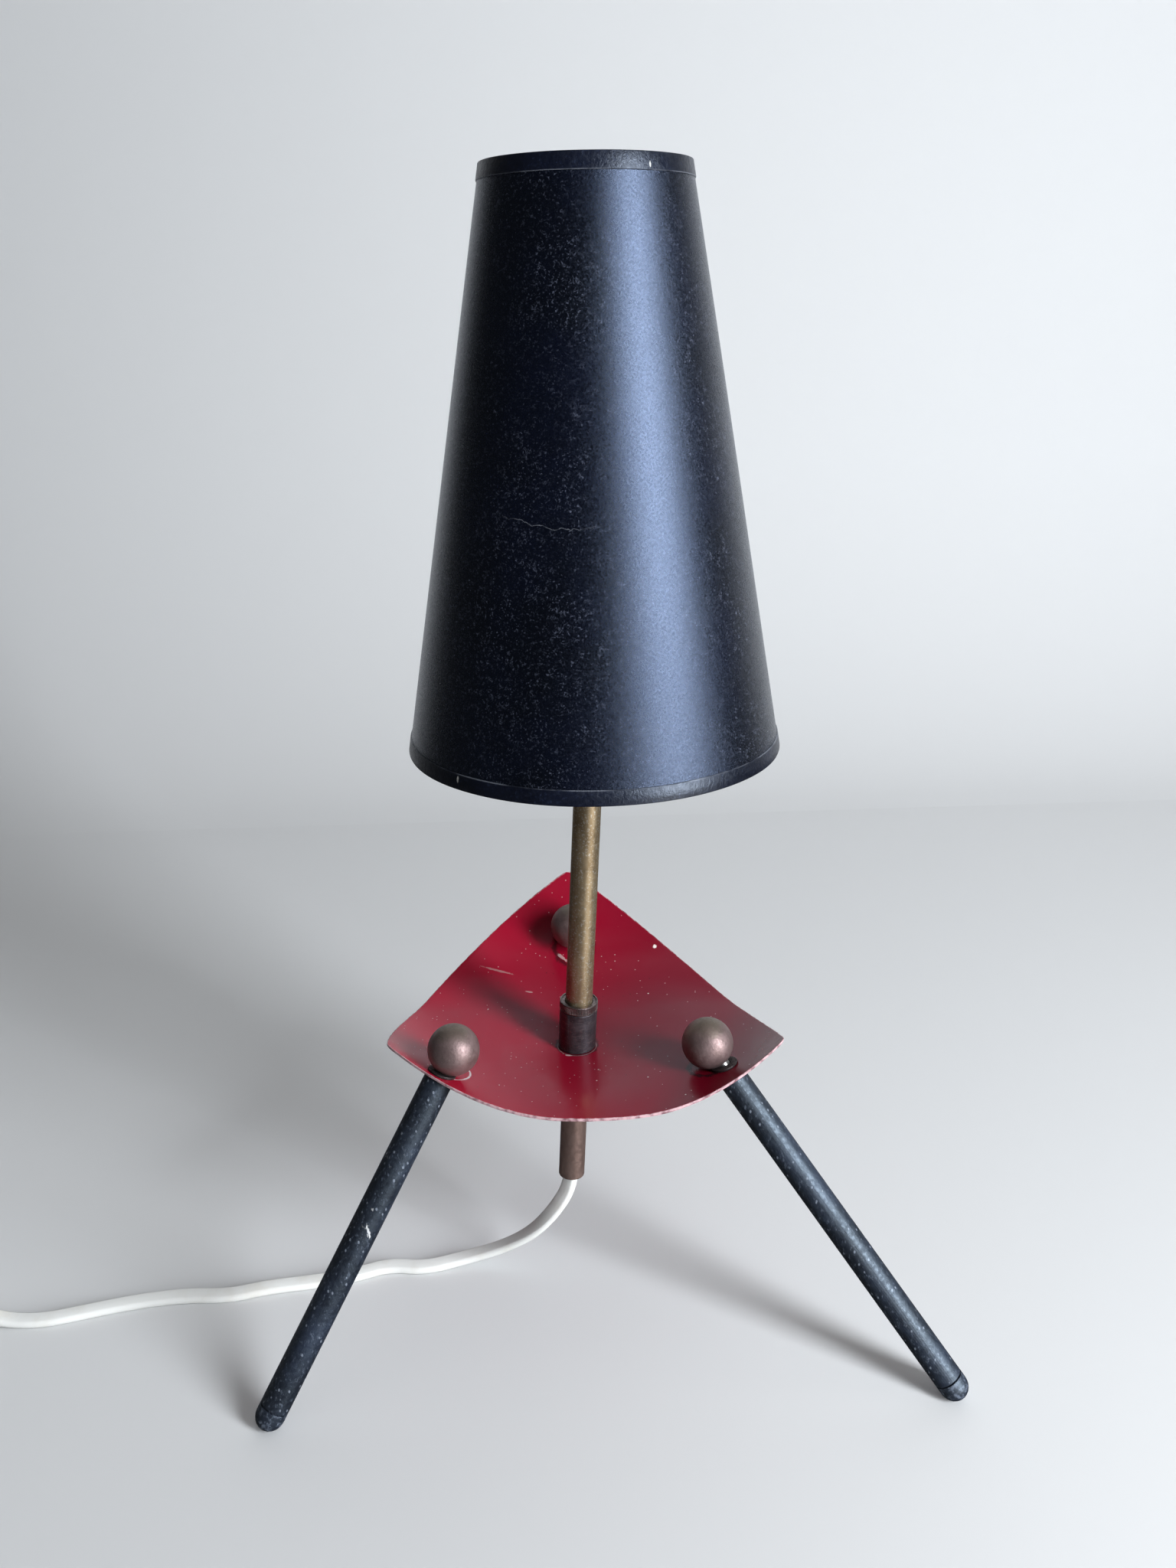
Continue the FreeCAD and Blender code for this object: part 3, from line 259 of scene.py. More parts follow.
def spline_points(name, route):
    """Points along a smooth NURBS line that follows the route."""
    curve = bpy.data.curves.new(name, "CURVE")
    curve.dimensions = "3D"
    spline = curve.splines.new("NURBS")
    spline.points.add(len(route) - 1)
    for point, place in zip(spline.points, route):
        point.co = (*place, 1)
    spline.order_u = 3
    spline.use_endpoint_u = True
    spline.resolution_u = 6
    holder = placed(name, curve)
    bpy.context.view_layer.update()
    graph = bpy.context.evaluated_depsgraph_get()
    line = bpy.data.meshes.new_from_object(holder.evaluated_get(graph))
    places = [v.co.copy() for v in line.vertices]
    bpy.data.objects.remove(holder)
    return places


def cord_section():
    """Outline of the two joined cores, round their common middle."""
    core = CORD_THICK / 2
    apart = CORD_WIDTH / 2 - core
    outline = []
    for side in (1, -1):
        for step in range(9):
            angle = math.radians(-68 + 136 * step / 8) * side
            outline.append((side * (apart + core * math.cos(angle)), core * math.sin(angle)))
        outline.append((0.0, side * core * 0.78))
    return outline


def flat_cord(name, places, lean_low=0.0, lean_high=0.0):
    """The cord's body, swept with its width level, or leaning by one angle where it lies and
    by another where it falls from the stem."""
    section = cord_section()
    count = len(section)
    points = []
    length = sum((after - before).length for before, after in zip(places, places[1:]))
    for index, place in enumerate(places):
        ahead = places[min(index + 1, len(places) - 1)] - places[max(index - 1, 0)]
        ahead.normalize()
        level = Vector((0, 0, 1)).cross(ahead).normalized()
        upward = ahead.cross(level)
        fallen = min(max((place.z - CORD_WIDTH) / (4 * CORD_WIDTH), 0.0), 1.0)
        lean = lean_low + (lean_high - lean_low) * fallen * fallen * (3 - 2 * fallen)
        across = level * math.cos(lean) - upward * math.sin(lean)
        raised = upward * math.cos(lean) + level * math.sin(lean)
        points += [place + across * a + raised * b for a, b in section]
    faces = joined_rings(len(places), count)
    faces.append(tuple(reversed(range(count))))
    faces.append(tuple(range((len(places) - 1) * count, len(places) * count)))
    return smoothed(mesh_piece(name, points, faces)), length


def mapped(tree, kind="POINT", **settings):
    """The surface point in the object's own metres, put through a Mapping node."""
    mapping = tree.nodes.new("ShaderNodeMapping")
    mapping.vector_type = kind
    for socket, value in settings.items():
        mapping.inputs[socket].default_value = value
    place = tree.nodes.new("ShaderNodeTexCoord").outputs["Object"]
    tree.links.new(place, mapping.inputs["Vector"])
    return mapping.outputs["Vector"]


def coordinates(tree):
    """X, Y and Z of the surface point, by name."""
    split = tree.nodes.new("ShaderNodeSeparateXYZ")
    tree.links.new(mapped(tree), split.inputs[0])
    return split.outputs


def noise(tree, scale, detail=3.0, roughness=0.55, stretch=(1, 1, 1)):
    """Noise on the surface point; scale is in waves per metre."""
    node = tree.nodes.new("ShaderNodeTexNoise")
    for socket, value in (("Scale", scale), ("Detail", detail), ("Roughness", roughness)):
        node.inputs[socket].default_value = value
    tree.links.new(mapped(tree, Scale=stretch), node.inputs["Vector"])
    return node.outputs["Fac"]


def ramp(factor, low, high, to_low=0.0, to_high=1.0):
    """Smooth step of a factor between two of its values."""
    node = factor.id_data.nodes.new("ShaderNodeMapRange")
    node.interpolation_type = "SMOOTHSTEP"
    for socket, value in zip(node.inputs[1:5], (low, high, to_low, to_high)):
        socket.default_value = value
    factor.id_data.links.new(factor, node.inputs[0])
    return node.outputs[0]


def patches(tree, noise_of, low, high, to_low=0.0, to_high=1.0):
    """Smooth step of a noise, whose scale, detail, roughness and stretch are in noise_of."""
    return ramp(noise(tree, *noise_of), low, high, to_low, to_high)


def math_of(operation):
    """A function that adds one Math node to its inputs' tree."""
    def add(a, b=0.0):
        tree = (b if isinstance(a, (int, float)) else a).id_data
        node = tree.nodes.new("ShaderNodeMath")
        node.operation = operation
        for socket, value in zip(node.inputs, (a, b)):
            if isinstance(value, (int, float)):
                socket.default_value = value
            else:
                tree.links.new(value, socket)
        return node.outputs[0]
    return add


times, plus, minus, over = map(math_of, ("MULTIPLY", "ADD", "SUBTRACT", "DIVIDE"))
absolute, less_than, larger = map(math_of, ("ABSOLUTE", "LESS_THAN", "MAXIMUM"))


def length_of(vector):
    """Length of a vector that a node puts out."""
    node = vector.id_data.nodes.new("ShaderNodeVectorMath")
    node.operation = "LENGTH"
    vector.id_data.links.new(vector, node.inputs[0])
    return node.outputs["Value"]


def mix(factor, a, b):
    """Mix of two colours, each a plain colour or another node's output."""
    tree = factor.id_data
    node = tree.nodes.new("ShaderNodeMix")
    node.data_type = "RGBA"
    tree.links.new(factor, node.inputs[0])
    for socket, value in ((node.inputs[6], a), (node.inputs[7], b)):
        if isinstance(value, (tuple, list)):
            socket.default_value = (*value, 1)
        else:
            tree.links.new(value, socket)
    return node.outputs[2]


def overlaid(ground, *layers):
    """The ground with other colours over it; a layer is a mask, its strength and a colour."""
    for mask, strength, colour in layers:
        ground = mix(times(mask, strength), ground, colour)
    return ground


def stored_value(tree, name):
    """A value that the mesh carries at its points."""
    node = tree.nodes.new("ShaderNodeAttribute")
    node.attribute_name = name
    return node.outputs["Fac"]


def surface(finish, colour, rough=None, relief=None, depth=0.0):
    """Link colour, roughness and relief, of a depth in metres, to the finish; returns it."""
    tree = finish.node_tree
    shader = tree.nodes["Principled BSDF"].inputs
    tree.links.new(colour, shader["Base Color"])
    if rough is not None:
        tree.links.new(rough, shader["Roughness"])
    if relief is not None:
        bump = tree.nodes.new("ShaderNodeBump")
        bump.inputs["Strength"].default_value = 1.0
        bump.inputs["Distance"].default_value = depth
        tree.links.new(relief, bump.inputs["Height"])
        tree.links.new(bump.outputs[0], shader["Normal"])
    return finish


def plastic_finish(name, clean, soiled, roughness, soil=0.6):
    """Moulded plastic with faint soiling and a fine mould grain."""
    finish = new_finish(name, clean, roughness)
    tree = finish.node_tree
    return surface(
        finish, mix(patches(tree, (90, 4), 0.45, 0.75, 0.0, soil), clean, soiled),
        patches(tree, (260, 2), 0.3, 0.7, roughness - 0.05, roughness + 0.07),
        noise(tree, 1500, 2), 0.02 * MM)


white_pvc = plastic_finish("white_pvc", (0.83, 0.83, 0.8), (0.66, 0.62, 0.54), 0.34, 0.4)

run_places = spline_points("cord_run_line", cord_run_route)
cord_run, cord_run_length = flat_cord("cord_free_run", run_places, LEAN_LYING, LEAN_FALLING)
coil_places = spline_points("cord_coil_line", coil_route())
cord_coil, cord_coil_length = flat_cord("cord_coiled_run", coil_places)
for cord in (cord_run, cord_coil):
    cord.data.materials.append(white_pvc)
print("cord lengths", round(cord_run_length, 4), round(cord_coil_length, 4))


# ==== Dressing for the machined pieces ====
# Turned, drilled and moulded pieces keep their own exact shape: a copy of each is welded,
# its edges are broken as a file or a mould leaves them, and it gets its finish.
EDGE_ANGLE = math.radians(32)


def put(piece, node, body):
    """The piece stands for a CAD node, which is hidden, and moves with a body."""
    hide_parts(node)
    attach(piece, body)


def dressed(node, finish, body, edge, slot):
    """A welded copy of one node's mesh with softened edges, in its place."""
    piece = placed(node + "_dressed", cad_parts[node].data.copy())
    piece.data.materials.clear()
    welded = bmesh.new()
    welded.from_mesh(piece.data)
    bmesh.ops.remove_doubles(welded, verts=welded.verts, dist=1e-6)
    bmesh.ops.dissolve_limit(welded, angle_limit=math.radians(0.5), verts=welded.verts,
                             edges=welded.edges)
    welded.to_mesh(piece.data)
    welded.free()
    piece.data.materials.append(finish)
    piece.data.shade_smooth()
    for face in piece.data.polygons:
        face.material_index = 0
    piece.data.set_sharp_from_angle(angle=EDGE_ANGLE)
    if edge:
        bevel = piece.modifiers.new("broken_edges", "BEVEL")
        bevel.width = edge * MM
        bevel.segments = 2
        bevel.limit_method = "ANGLE"
        bevel.angle_limit = EDGE_ANGLE
        bevel.use_clamp_overlap = True
        bevel.harden_normals = True
    put(piece, node, body)
    return piece


def dressed_alike(finish, body, slot, **edges):
    """Pieces of one finish and body; slot is not used; edges gives each one's edge width in
    millimetres.
    """
    for node, edge in edges.items():
        dressed(node, finish, body, edge, slot)


def metal_finish(name, bright, dull, roughness):
    """Bare or patinated metal: dull clouds over a brighter ground, with fine pitting."""
    finish = new_finish(name, bright, roughness, 1.0)
    tree = finish.node_tree
    cloud = patches(tree, (120, 5, 0.6), 0.35, 0.68)
    fine = patches(tree, (1400, 3, 0.6), 0.42, 0.62)
    both = times(plus(cloud, fine), 0.5)
    return surface(finish, mix(both, bright, dull),
                   ramp(both, 0.1, 0.9, roughness - 0.06, roughness + 0.14),
                   noise(tree, 1400, 2), 0.03 * MM)


zinc_steel = metal_finish("zinc_plated_steel", (0.55, 0.55, 0.54), (0.36, 0.35, 0.33), 0.34)
yellow_brass = metal_finish("yellow_brass", (0.62, 0.47, 0.22), (0.4, 0.29, 0.14), 0.3)


# ==== Switch on the cord ====
# A two-part moulded housing, held by two screws from below, with a rocker in its top.
switch_pieces = [dressed(*facts) for facts in (
    ("switch_lower", white_pvc, "base", 0.5, "white_plastic"),
    ("switch_upper", white_pvc, "base", 0.5, "white_plastic"),
    ("switch_screws", zinc_steel, "base", 0.1, "steel"),
    ("switch_rocker", white_pvc, "rocker", 0.4, "white_plastic"),
    ("switch_reliefs", white_pvc, "base", 0.3, "white_plastic"))]

# ==== Plug ====
# A flat two-pin plug moulded on the cord's far end.
plug_pieces = [dressed(*facts) for facts in (
    ("plug_body", white_pvc, "base", 0.9, "white_plastic"),
    ("plug_pins", zinc_steel, "base", 0.1, "steel"),
    ("plug_relief", white_pvc, "base", 0.3, "white_plastic"))]

put(cord_run, "cord_run", "base")
put(cord_coil, "cord_coil", "base")


# ==== Base plate ====
# One sheet of steel, 1.2 mm thick, dished in the middle and curled up at its three corners,
# sprayed satin crimson. Its edge is chipped back to pale primer all round.
PLATE_THICK = 1.2 * MM
DISH_DEPTH, DISH_R = 3.9 * MM, 50.0 * MM
CORNER_R = 1.2 * MM
SHEET_HOLE_R = 6.3 * MM
EDGE_WOBBLE = 0.09  # millimetres
STEPS_ALONG_SIDE, RINGS_IN_SHEET = 90, 44
# azimuth of the leg, where the curl starts, its radius, tip radius and azimuth, edge bulge, and
# how far out the foot stands and the leg comes through
LEG_FACTS = {
    "left": (-148.2, 34.0, 55.3, 71.8, -161.9, 27.1, 132.3, 57.3),
    "right": (-28.3, 42.4, 52.7, 78.8, -22.1, 21.2, 148.4, 58.8),
    "rear": (89.2, 20.3, 60.8, 75.5, 90.0, 22.7, 146.0, 57.5),
}


def compass(degrees):
    """Level direction at an azimuth; 0 is +X and 90 is +Y."""
    return Vector((math.cos(math.radians(degrees)), math.sin(math.radians(degrees)), 0))


def sheet_height(x, y):
    """Height of the sheet's top face."""
    radius = min(math.hypot(x, y), DISH_R)
    height = PLATE_Z + DISH_DEPTH * (1 - math.cos(math.pi * radius / DISH_R)) / 2
    for azimuth, start, curl, *_ in LEG_FACTS.values():
        past = Vector((x, y, 0)).dot(compass(azimuth)) - start * MM
        if past > 0:
            past = min(past, 0.9 * curl * MM)
            height += curl * MM - math.sqrt((curl * MM) ** 2 - past ** 2)
    return height


def plate_edge():
    """Points round the plate's outline, anticlockwise, corners rounded."""
    facts = list(LEG_FACTS.values())
    tips = [compass(f[4]) * f[3] * MM for f in facts]
    outline = []
    for index, fact in enumerate(facts):
        a, b = tips[index], tips[(index + 1) % 3]
        chord = b - a
        out = chord.normalized().cross(Vector((0, 0, 1)))
        sag = fact[5] * MM
        radius = (chord.length ** 2 / 4 + sag ** 2) / (2 * sag)
        centre = (a + b) / 2 + out * (sag - radius)
        first = math.atan2((a - centre).y, (a - centre).x)
        sweep = 2 * math.asin(chord.length / 2 / radius)
        for k in range(STEPS_ALONG_SIDE):
            turn = first + sweep * k / STEPS_ALONG_SIDE
            outline.append(centre + Vector((math.cos(turn), math.sin(turn), 0)) * radius)
    for _ in range(2):
        outline = [p if not any((p - t).length < CORNER_R * 1.2 for t in tips)
                   else (outline[i - 1] + p * 2 + outline[(i + 1) % len(outline)]) / 4
                   for i, p in enumerate(outline)]
    return outline


def base_plate():
    """Sheet with a rounded rim; each point keeps its distance from the rim."""
    random.seed(4)
    edge = plate_edge()
    count, rings = len(edge), RINGS_IN_SHEET
    wobble = [random.uniform(-EDGE_WOBBLE, EDGE_WOBBLE) * MM for _ in edge]
    points, depth = [], []

    def ring(t, inset, drop):
        for k, place in enumerate(edge):
            out = place.normalized()
            spot = (out * SHEET_HOLE_R).lerp(place - out * inset, t)
            spot += out * wobble[k] * (t == 1)
            points.append(Vector((spot.x, spot.y, sheet_height(spot.x, spot.y) - drop)))
            depth.append((place - spot).length / MM)

    for r in range(rings):
        ring((r / rings) ** 0.9, 0.4 * MM, 0)
    for inset, drop in ((0.4 * MM, 0), (0.16 * MM, 0.03 * MM), (0.03 * MM, 0.16 * MM),
                        (0, 0.4 * MM), (0, PLATE_THICK - 0.3 * MM),
                        (0.1 * MM, PLATE_THICK - 0.05 * MM)):
        ring(1, inset, drop)
    for r in range(rings, -1, -1):
        ring((r / rings) ** 0.9, 0.35 * MM, PLATE_THICK)
    plate = mesh_piece("crimson_base_plate", points,
                       joined_rings(len(points) // count, count, closed=True))
    rim = plate.data.attributes.new("rim", "FLOAT", "POINT")
    rim.data.foreach_set("value", depth)
    return smoothed(plate, 50)


def voronoi_spots(tree, scale, reach, share, stretch=(1, 1, 1), angle=(0, 0, 0)):
    """Small round spots, kept in a share of the cells only."""
    cells = tree.nodes.new("ShaderNodeTexVoronoi")
    cells.inputs["Scale"].default_value = scale
    tree.links.new(mapped(tree, Scale=stretch, Rotation=angle), cells.inputs["Vector"])
    pick = tree.nodes.new("ShaderNodeSeparateColor")
    tree.links.new(cells.outputs["Color"], pick.inputs[0])
    near = ramp(cells.outputs["Distance"], reach * 0.5, reach, 1.0, 0.0)
    return times(near, less_than(pick.outputs[0], share))


def mark_at(tree, centre, size, turn=0.0):
    """Ragged mask of one mark; size is its half length, half width and half height, and turn
    the angle of its length from +X."""
    place = mapped(tree, "TEXTURE", Location=centre, Rotation=(0, 0, math.radians(turn)),
                   Scale=size)
    return ramp(plus(length_of(place), times(noise(tree, 900, 3), 0.9)), 1.0, 1.3, 1.0, 0.0)


def ring_at(tree, centre, radius, width):
    """Ragged mask of a ring round an upright axis."""
    place = mapped(tree, Location=(-centre[0], -centre[1], 0), Scale=(1, 1, 0))
    off = absolute(minus(length_of(place), radius))
    return ramp(plus(off, times(noise(tree, 500, 4), width)), width * 0.6, width, 1.0, 0.0)


# place, half length, half width, turn and strength of single pale marks in the paint
PLATE_MARKS = ((34.2, 52.3, 1.05, 1.05, 0, 1.0), (-30.3, 44.4, 9.5, 0.62, -19, 0.24),
               (-18.0, 33.3, 2.0, 0.5, -10, 0.35), (-4.6, 49.6, 3.0, 0.9, -40, 0.35),
               (-2.2, 47.8, 1.5, 0.8, -20, 0.35), (-3.4, -7.4, 1.8, 0.7, -10, 0.6))
# middle, radius, width, colour and strength of rings round balls and collar: pale ones are wear;
# dark ones are painted shade round the right and rear balls, and painted shade with dirt round the
# collar's foot
PLATE_WEAR_AND_SHADE_RINGS = ((-45.8, -25.6, 6.9, 1.0, (0.72, 0.68, 0.68), 0.85),
               (46.4, -25.6, 6.6, 3.2, (0.02, 0.008, 0.01), 0.8),
               (0.8, 53.5, 8.0, 3.0, (0.02, 0.008, 0.01), 0.7),
               (0.0, 0.0, 7.4, 2.6, (0.03, 0.008, 0.01), 0.75),
               (0.0, -0.6, 7.3, 0.5, (0.5, 0.36, 0.36), 0.4))


def crimson_paint():
    """Satin paint with dust nibs, scratches and an edge worn to pale primer; brighter towards the
    left and darker towards the right as painted light and shade.
    """
    finish = new_finish("satin_crimson_paint", (0.28, 0.006, 0.016), 0.22,
                        Specular_IOR_Level=0.31, Specular_Tint=(0.72, 0.82, 1.0, 1))
    tree = finish.node_tree
    # Painted light and shade: the red is painted brighter on the left of the plate and darker on
    # the right, across a wandering border.
    drift = times(noise(tree, 14, 2), 0.03)
    painted_light_from_left = ramp(plus(coordinates(tree)["X"], drift), -0.05, 0.07, 1.0, 0.0)
    paint = mix(painted_light_from_left, (0.160, 0.003, 0.013), (0.375, 0.006, 0.027))
    nibs = voronoi_spots(tree, 520, 0.14, 0.24)
    dark_nibs = voronoi_spots(tree, 360, 0.12, 0.12)
    flecks = voronoi_spots(tree, 170, 0.062, 0.22)
    hairs = voronoi_spots(tree, 60, 0.035, 0.3, (1.0, 0.13, 1.0), (0, 0, 0.9))
    paint = overlaid(paint, (nibs, 0.6, (0.8, 0.62, 0.62)), (dark_nibs, 0.7, (0.04, 0.004, 0.006)),
                     (flecks, 1.0, (0.86, 0.78, 0.76)), (hairs, 0.35, (0.75, 0.45, 0.5)))
    # Dark rings are painted shade under the right and rear balls and at the collar's foot; pale
    # rings are wear.
    for x, y, radius, width, colour, strength in PLATE_WEAR_AND_SHADE_RINGS:
        ring = ring_at(tree, (x * MM, y * MM), radius * MM, width * MM)
        paint = overlaid(paint, (ring, strength, colour))
    for x, y, half_long, half_wide, turn, strength in PLATE_MARKS:
        size = (half_long * MM, half_wide * MM, 1.0)
        chip = mark_at(tree, (x * MM, y * MM, PLATE_Z), size, turn)
        paint = overlaid(paint, (chip, strength, (0.8, 0.7, 0.66)))
    reach = times(noise(tree, 700, 4, 0.65), 0.8)
    chipped = ramp(minus(stored_value(tree, "rim"), reach), -0.22, -0.02, 1.0, 0.0)
    primer = mix(patches(tree, (420, 3), 0.4, 0.7), (0.56, 0.36, 0.38), (0.18, 0.08, 0.09))
    rough = plus(patches(tree, (240, 3), 0.3, 0.7, 0.19, 0.27), times(chipped, 0.35))
    return surface(finish, mix(chipped, paint, primer), rough,
                   minus(times(noise(tree, 300, 2), 0.3), chipped), 0.04 * MM)


plate = base_plate()
plate.data.materials.append(crimson_paint())
put(plate, "base_plate", "base")


# ==== Legs ====
# Three straight steel tubes, sprayed satin black, each screwed to its ball through the sheet.
# They have gone a little grey with handling and carry pale scuffs.
BLACK_SHEEN = (0.70, 0.85, 1.0, 1)
# place and half size, in millimetres, of scuffs down to pale primer
LEG_SCARS = (((-76.3, -51.6, 70.6), (1.7, 1.7, 2.2)), ((-73.9, -49.8, 75.3), (1.0, 1.0, 1.8)),
             ((-75.4, -52.6, 67.3), (0.9, 0.9, 3.0)))


def black_paint():
    """Satin paint, dusty and flecked, rubbed to pale streaks and scarred in a few places."""
    finish = new_finish("satin_black_paint", (0.012, 0.014, 0.02), 0.46,
                        Specular_IOR_Level=1.0, Specular_Tint=BLACK_SHEEN)
    tree = finish.node_tree
    cloud = patches(tree, (45, 5, 0.65), 0.4, 0.7)
    paint = mix(cloud, (0.0045, 0.0058, 0.011), (0.016, 0.022, 0.040))
    dust = patches(tree, (900, 5, 0.75, (1, 1, 0.45)), 0.54, 0.70, 0.0, 0.7)
    flecks = voronoi_spots(tree, 620, 0.30, 0.30, (1, 1, 0.6))
    scuffs = voronoi_spots(tree, 190, 0.11, 0.16, (1, 1, 0.5))
    rubbed = patches(tree, (55, 5, 0.8), 0.60, 0.70)
    streaks = patches(tree, (700, 3, 0.7, (1, 1, 0.3)), 0.50, 0.58)
    paint = overlaid(paint, (dust, 1.0, (0.105, 0.125, 0.165)), (flecks, 0.55, (0.25, 0.28, 0.34)),
                     (scuffs, 0.8, (0.42, 0.44, 0.48)),
                     (times(rubbed, streaks), 0.55, (0.36, 0.37, 0.4)))
    for place, size in LEG_SCARS:
        scar = mark_at(tree, [c * MM for c in place], [c * MM for c in size])
        paint = overlaid(paint, (times(scar, streaks), 0.9, (0.6, 0.6, 0.6)))
    return surface(finish, paint, patches(tree, (700, 4), 0.3, 0.7, 0.42, 0.62),
                   noise(tree, 900, 4, 0.7), 0.10 * MM)


dressed_alike(black_paint(), "base", "black_paint", leg_left=0.25, leg_right=0.25, leg_rear=0.25)
dressed_alike(zinc_steel, "base", "steel", leg_top_plugs=0.1, leg_studs=0.1)


# ==== Foot caps ====
# Black domed caps pushed into the legs' lower ends, scuffed grey in patches.
def rubber_finish():
    """Black rubber, worn grey in patches."""
    finish = new_finish("black_rubber", (0.02, 0.021, 0.025), 0.5, Specular_IOR_Level=1.0,
                        Specular_Tint=BLACK_SHEEN)
    tree = finish.node_tree
    worn = patches(tree, (600, 5, 0.7), 0.46, 0.66)
    return surface(finish, mix(worn, (0.010, 0.013, 0.022), (0.11, 0.13, 0.17)), None,
                   noise(tree, 1100, 3), 0.08 * MM)


dressed("foot_caps", rubber_finish(), "base", 0.1, "black_rubber")


# ==== Balls, washers and studs ====
# Turned brass balls, brown with age and tinted greenish-grey where they face up, screwed down
# on the legs' studs over steel washers that have bitten into the paint.
BALL_R, BALL_FLAT_R = 9.2 * MM, 3.8 * MM
WASHER_T = 1.0 * MM
FOOT_STANDS = (5.3 - 0.15) * MM


def leg_seat(facts):
    """Where the leg's line meets the sheet's top, its direction, and the sheet's normal there."""
    foot = compass(facts[0]) * facts[6] * MM + Vector((0, 0, FOOT_STANDS))
    spot = compass(facts[0]) * facts[7] * MM
    spot.z = sheet_height(spot.x, spot.y)
    step = 0.5 * MM
    normal = Vector((sheet_height(spot.x - step, spot.y) - sheet_height(spot.x + step, spot.y),
                     sheet_height(spot.x, spot.y - step) - sheet_height(spot.x, spot.y + step),
                     2 * step)).normalized()
    return spot, (spot - foot).normalized(), normal


def layout_tree(name, inputs, **kinds):
    """A geometry node tree with its input sockets; also its nodes, by short names."""
    tree = bpy.data.node_groups.new(name, "GeometryNodeTree")
    for label, kind in inputs.items():
        tree.interface.new_socket(label, in_out="INPUT", socket_type="NodeSocket" + kind)
    tree.interface.new_socket("Result", in_out="OUTPUT", socket_type="NodeSocketGeometry")
    kinds.update(entry="NodeGroupInput", leave="NodeGroupOutput")
    return tree, {short: tree.nodes.new(kind) for short, kind in kinds.items()}


def wire(tree, nodes, *links):
    """Link nodes by their short names; a link is (node, output, node, input)."""
    for source, output, target, socket in links:
        tree.links.new(nodes[source].outputs[output], nodes[target].inputs[socket])


def made_plain(piece, tree, master, **settings):
    """Run a node tree on a piece, keep what it makes as plain mesh and drop the master."""
    layout = piece.modifiers.new("layout", "NODES")
    layout.node_group = tree
    for socket in tree.interface.items_tree:
        if socket.name in settings:
            layout[socket.identifier] = settings[socket.name]
    graph = bpy.context.evaluated_depsgraph_get()
    plain = bpy.data.meshes.new_from_object(piece.evaluated_get(graph))
    piece.modifiers.clear()
    piece.data = plain
    bpy.data.objects.remove(master)
    return piece


def laid_out(name, master, places, finish):
    """One made piece repeated at several places by a node tree.

    places are (position, direction of the piece's own +Z)."""
    points = mesh_piece(name, [p for p, _ in places], [])
    turn = points.data.attributes.new("turn", "FLOAT_VECTOR", "POINT")
    for item, (_, up) in zip(turn.data, places):
        item.vector = Vector((0, 0, 1)).rotation_difference(up).to_euler()
    tree, nodes = layout_tree(
        name + "_layout", {"Points": "Geometry", "Piece": "Object"},
        look_up="GeometryNodeObjectInfo", copies="GeometryNodeInstanceOnPoints",
        to_points="GeometryNodeMeshToPoints", stored="GeometryNodeInputNamedAttribute",
        to_turn="FunctionNodeEulerToRotation", real="GeometryNodeRealizeInstances",
        painted="GeometryNodeSetMaterial")
    nodes["stored"].data_type = "FLOAT_VECTOR"
    nodes["stored"].inputs["Name"].default_value = "turn"
    nodes["painted"].inputs["Material"].default_value = finish
    wire(tree, nodes, ("entry", "Points", "to_points", "Mesh"),
         ("to_points", 0, "copies", "Points"), ("entry", "Piece", "look_up", "Object"),
         ("look_up", "Geometry", "copies", "Instance"),
         ("stored", "Attribute", "to_turn", 0), ("to_turn", 0, "copies", "Rotation"),
         ("copies", 0, "real", 0), ("real", 0, "painted", 0), ("painted", 0, "leave", 0))
    copies = made_plain(points, tree, master, Piece=master)
    copies.data.shade_smooth()
    return copies


def turned_piece(name, profile):
    """Closed solid of revolution about Z; profile runs from the axis to the axis, or in a loop."""
    sides = 96
    on_axis = abs(profile[0][0]) < 1e-9
    body = bmesh.new()
    rings = []
    for radius, height in profile:
        if radius < 1e-9:
            rings.append([body.verts.new((0, 0, height))])
        else:
            rings.append([body.verts.new((radius * math.cos(2 * math.pi * k / sides),
                                          radius * math.sin(2 * math.pi * k / sides), height))
                          for k in range(sides)])
    pairs = list(zip(rings, rings[1:])) + ([] if on_axis else [(rings[-1], rings[0])])
    for low, high in pairs:
        for k in range(sides):
            n = (k + 1) % sides
            loop = [low[k % len(low)], low[n % len(low)], high[n % len(high)], high[k % len(high)]]
            unique = list(dict.fromkeys(loop))
            if len(unique) > 2:
                body.faces.new(unique)
    piece = mesh_piece(name, [], [])
    body.to_mesh(piece.data)
    body.free()
    return smoothed(piece, 35)


def ball_profile():
    """From the flat underside over the top, the flat's rim slightly broken."""
    flat = math.asin(BALL_FLAT_R / BALL_R)
    drop = BALL_R * math.cos(flat)
    profile = [(0.0, -drop), (BALL_FLAT_R - 0.15 * MM, -drop)]
    for step in range(49):
        angle = -math.pi / 2 + flat + (math.pi - flat) * step / 48
        profile.append((max(BALL_R * math.cos(angle), 0.0), BALL_R * math.sin(angle)))
    profile[-1] = (0.0, BALL_R)
    return profile


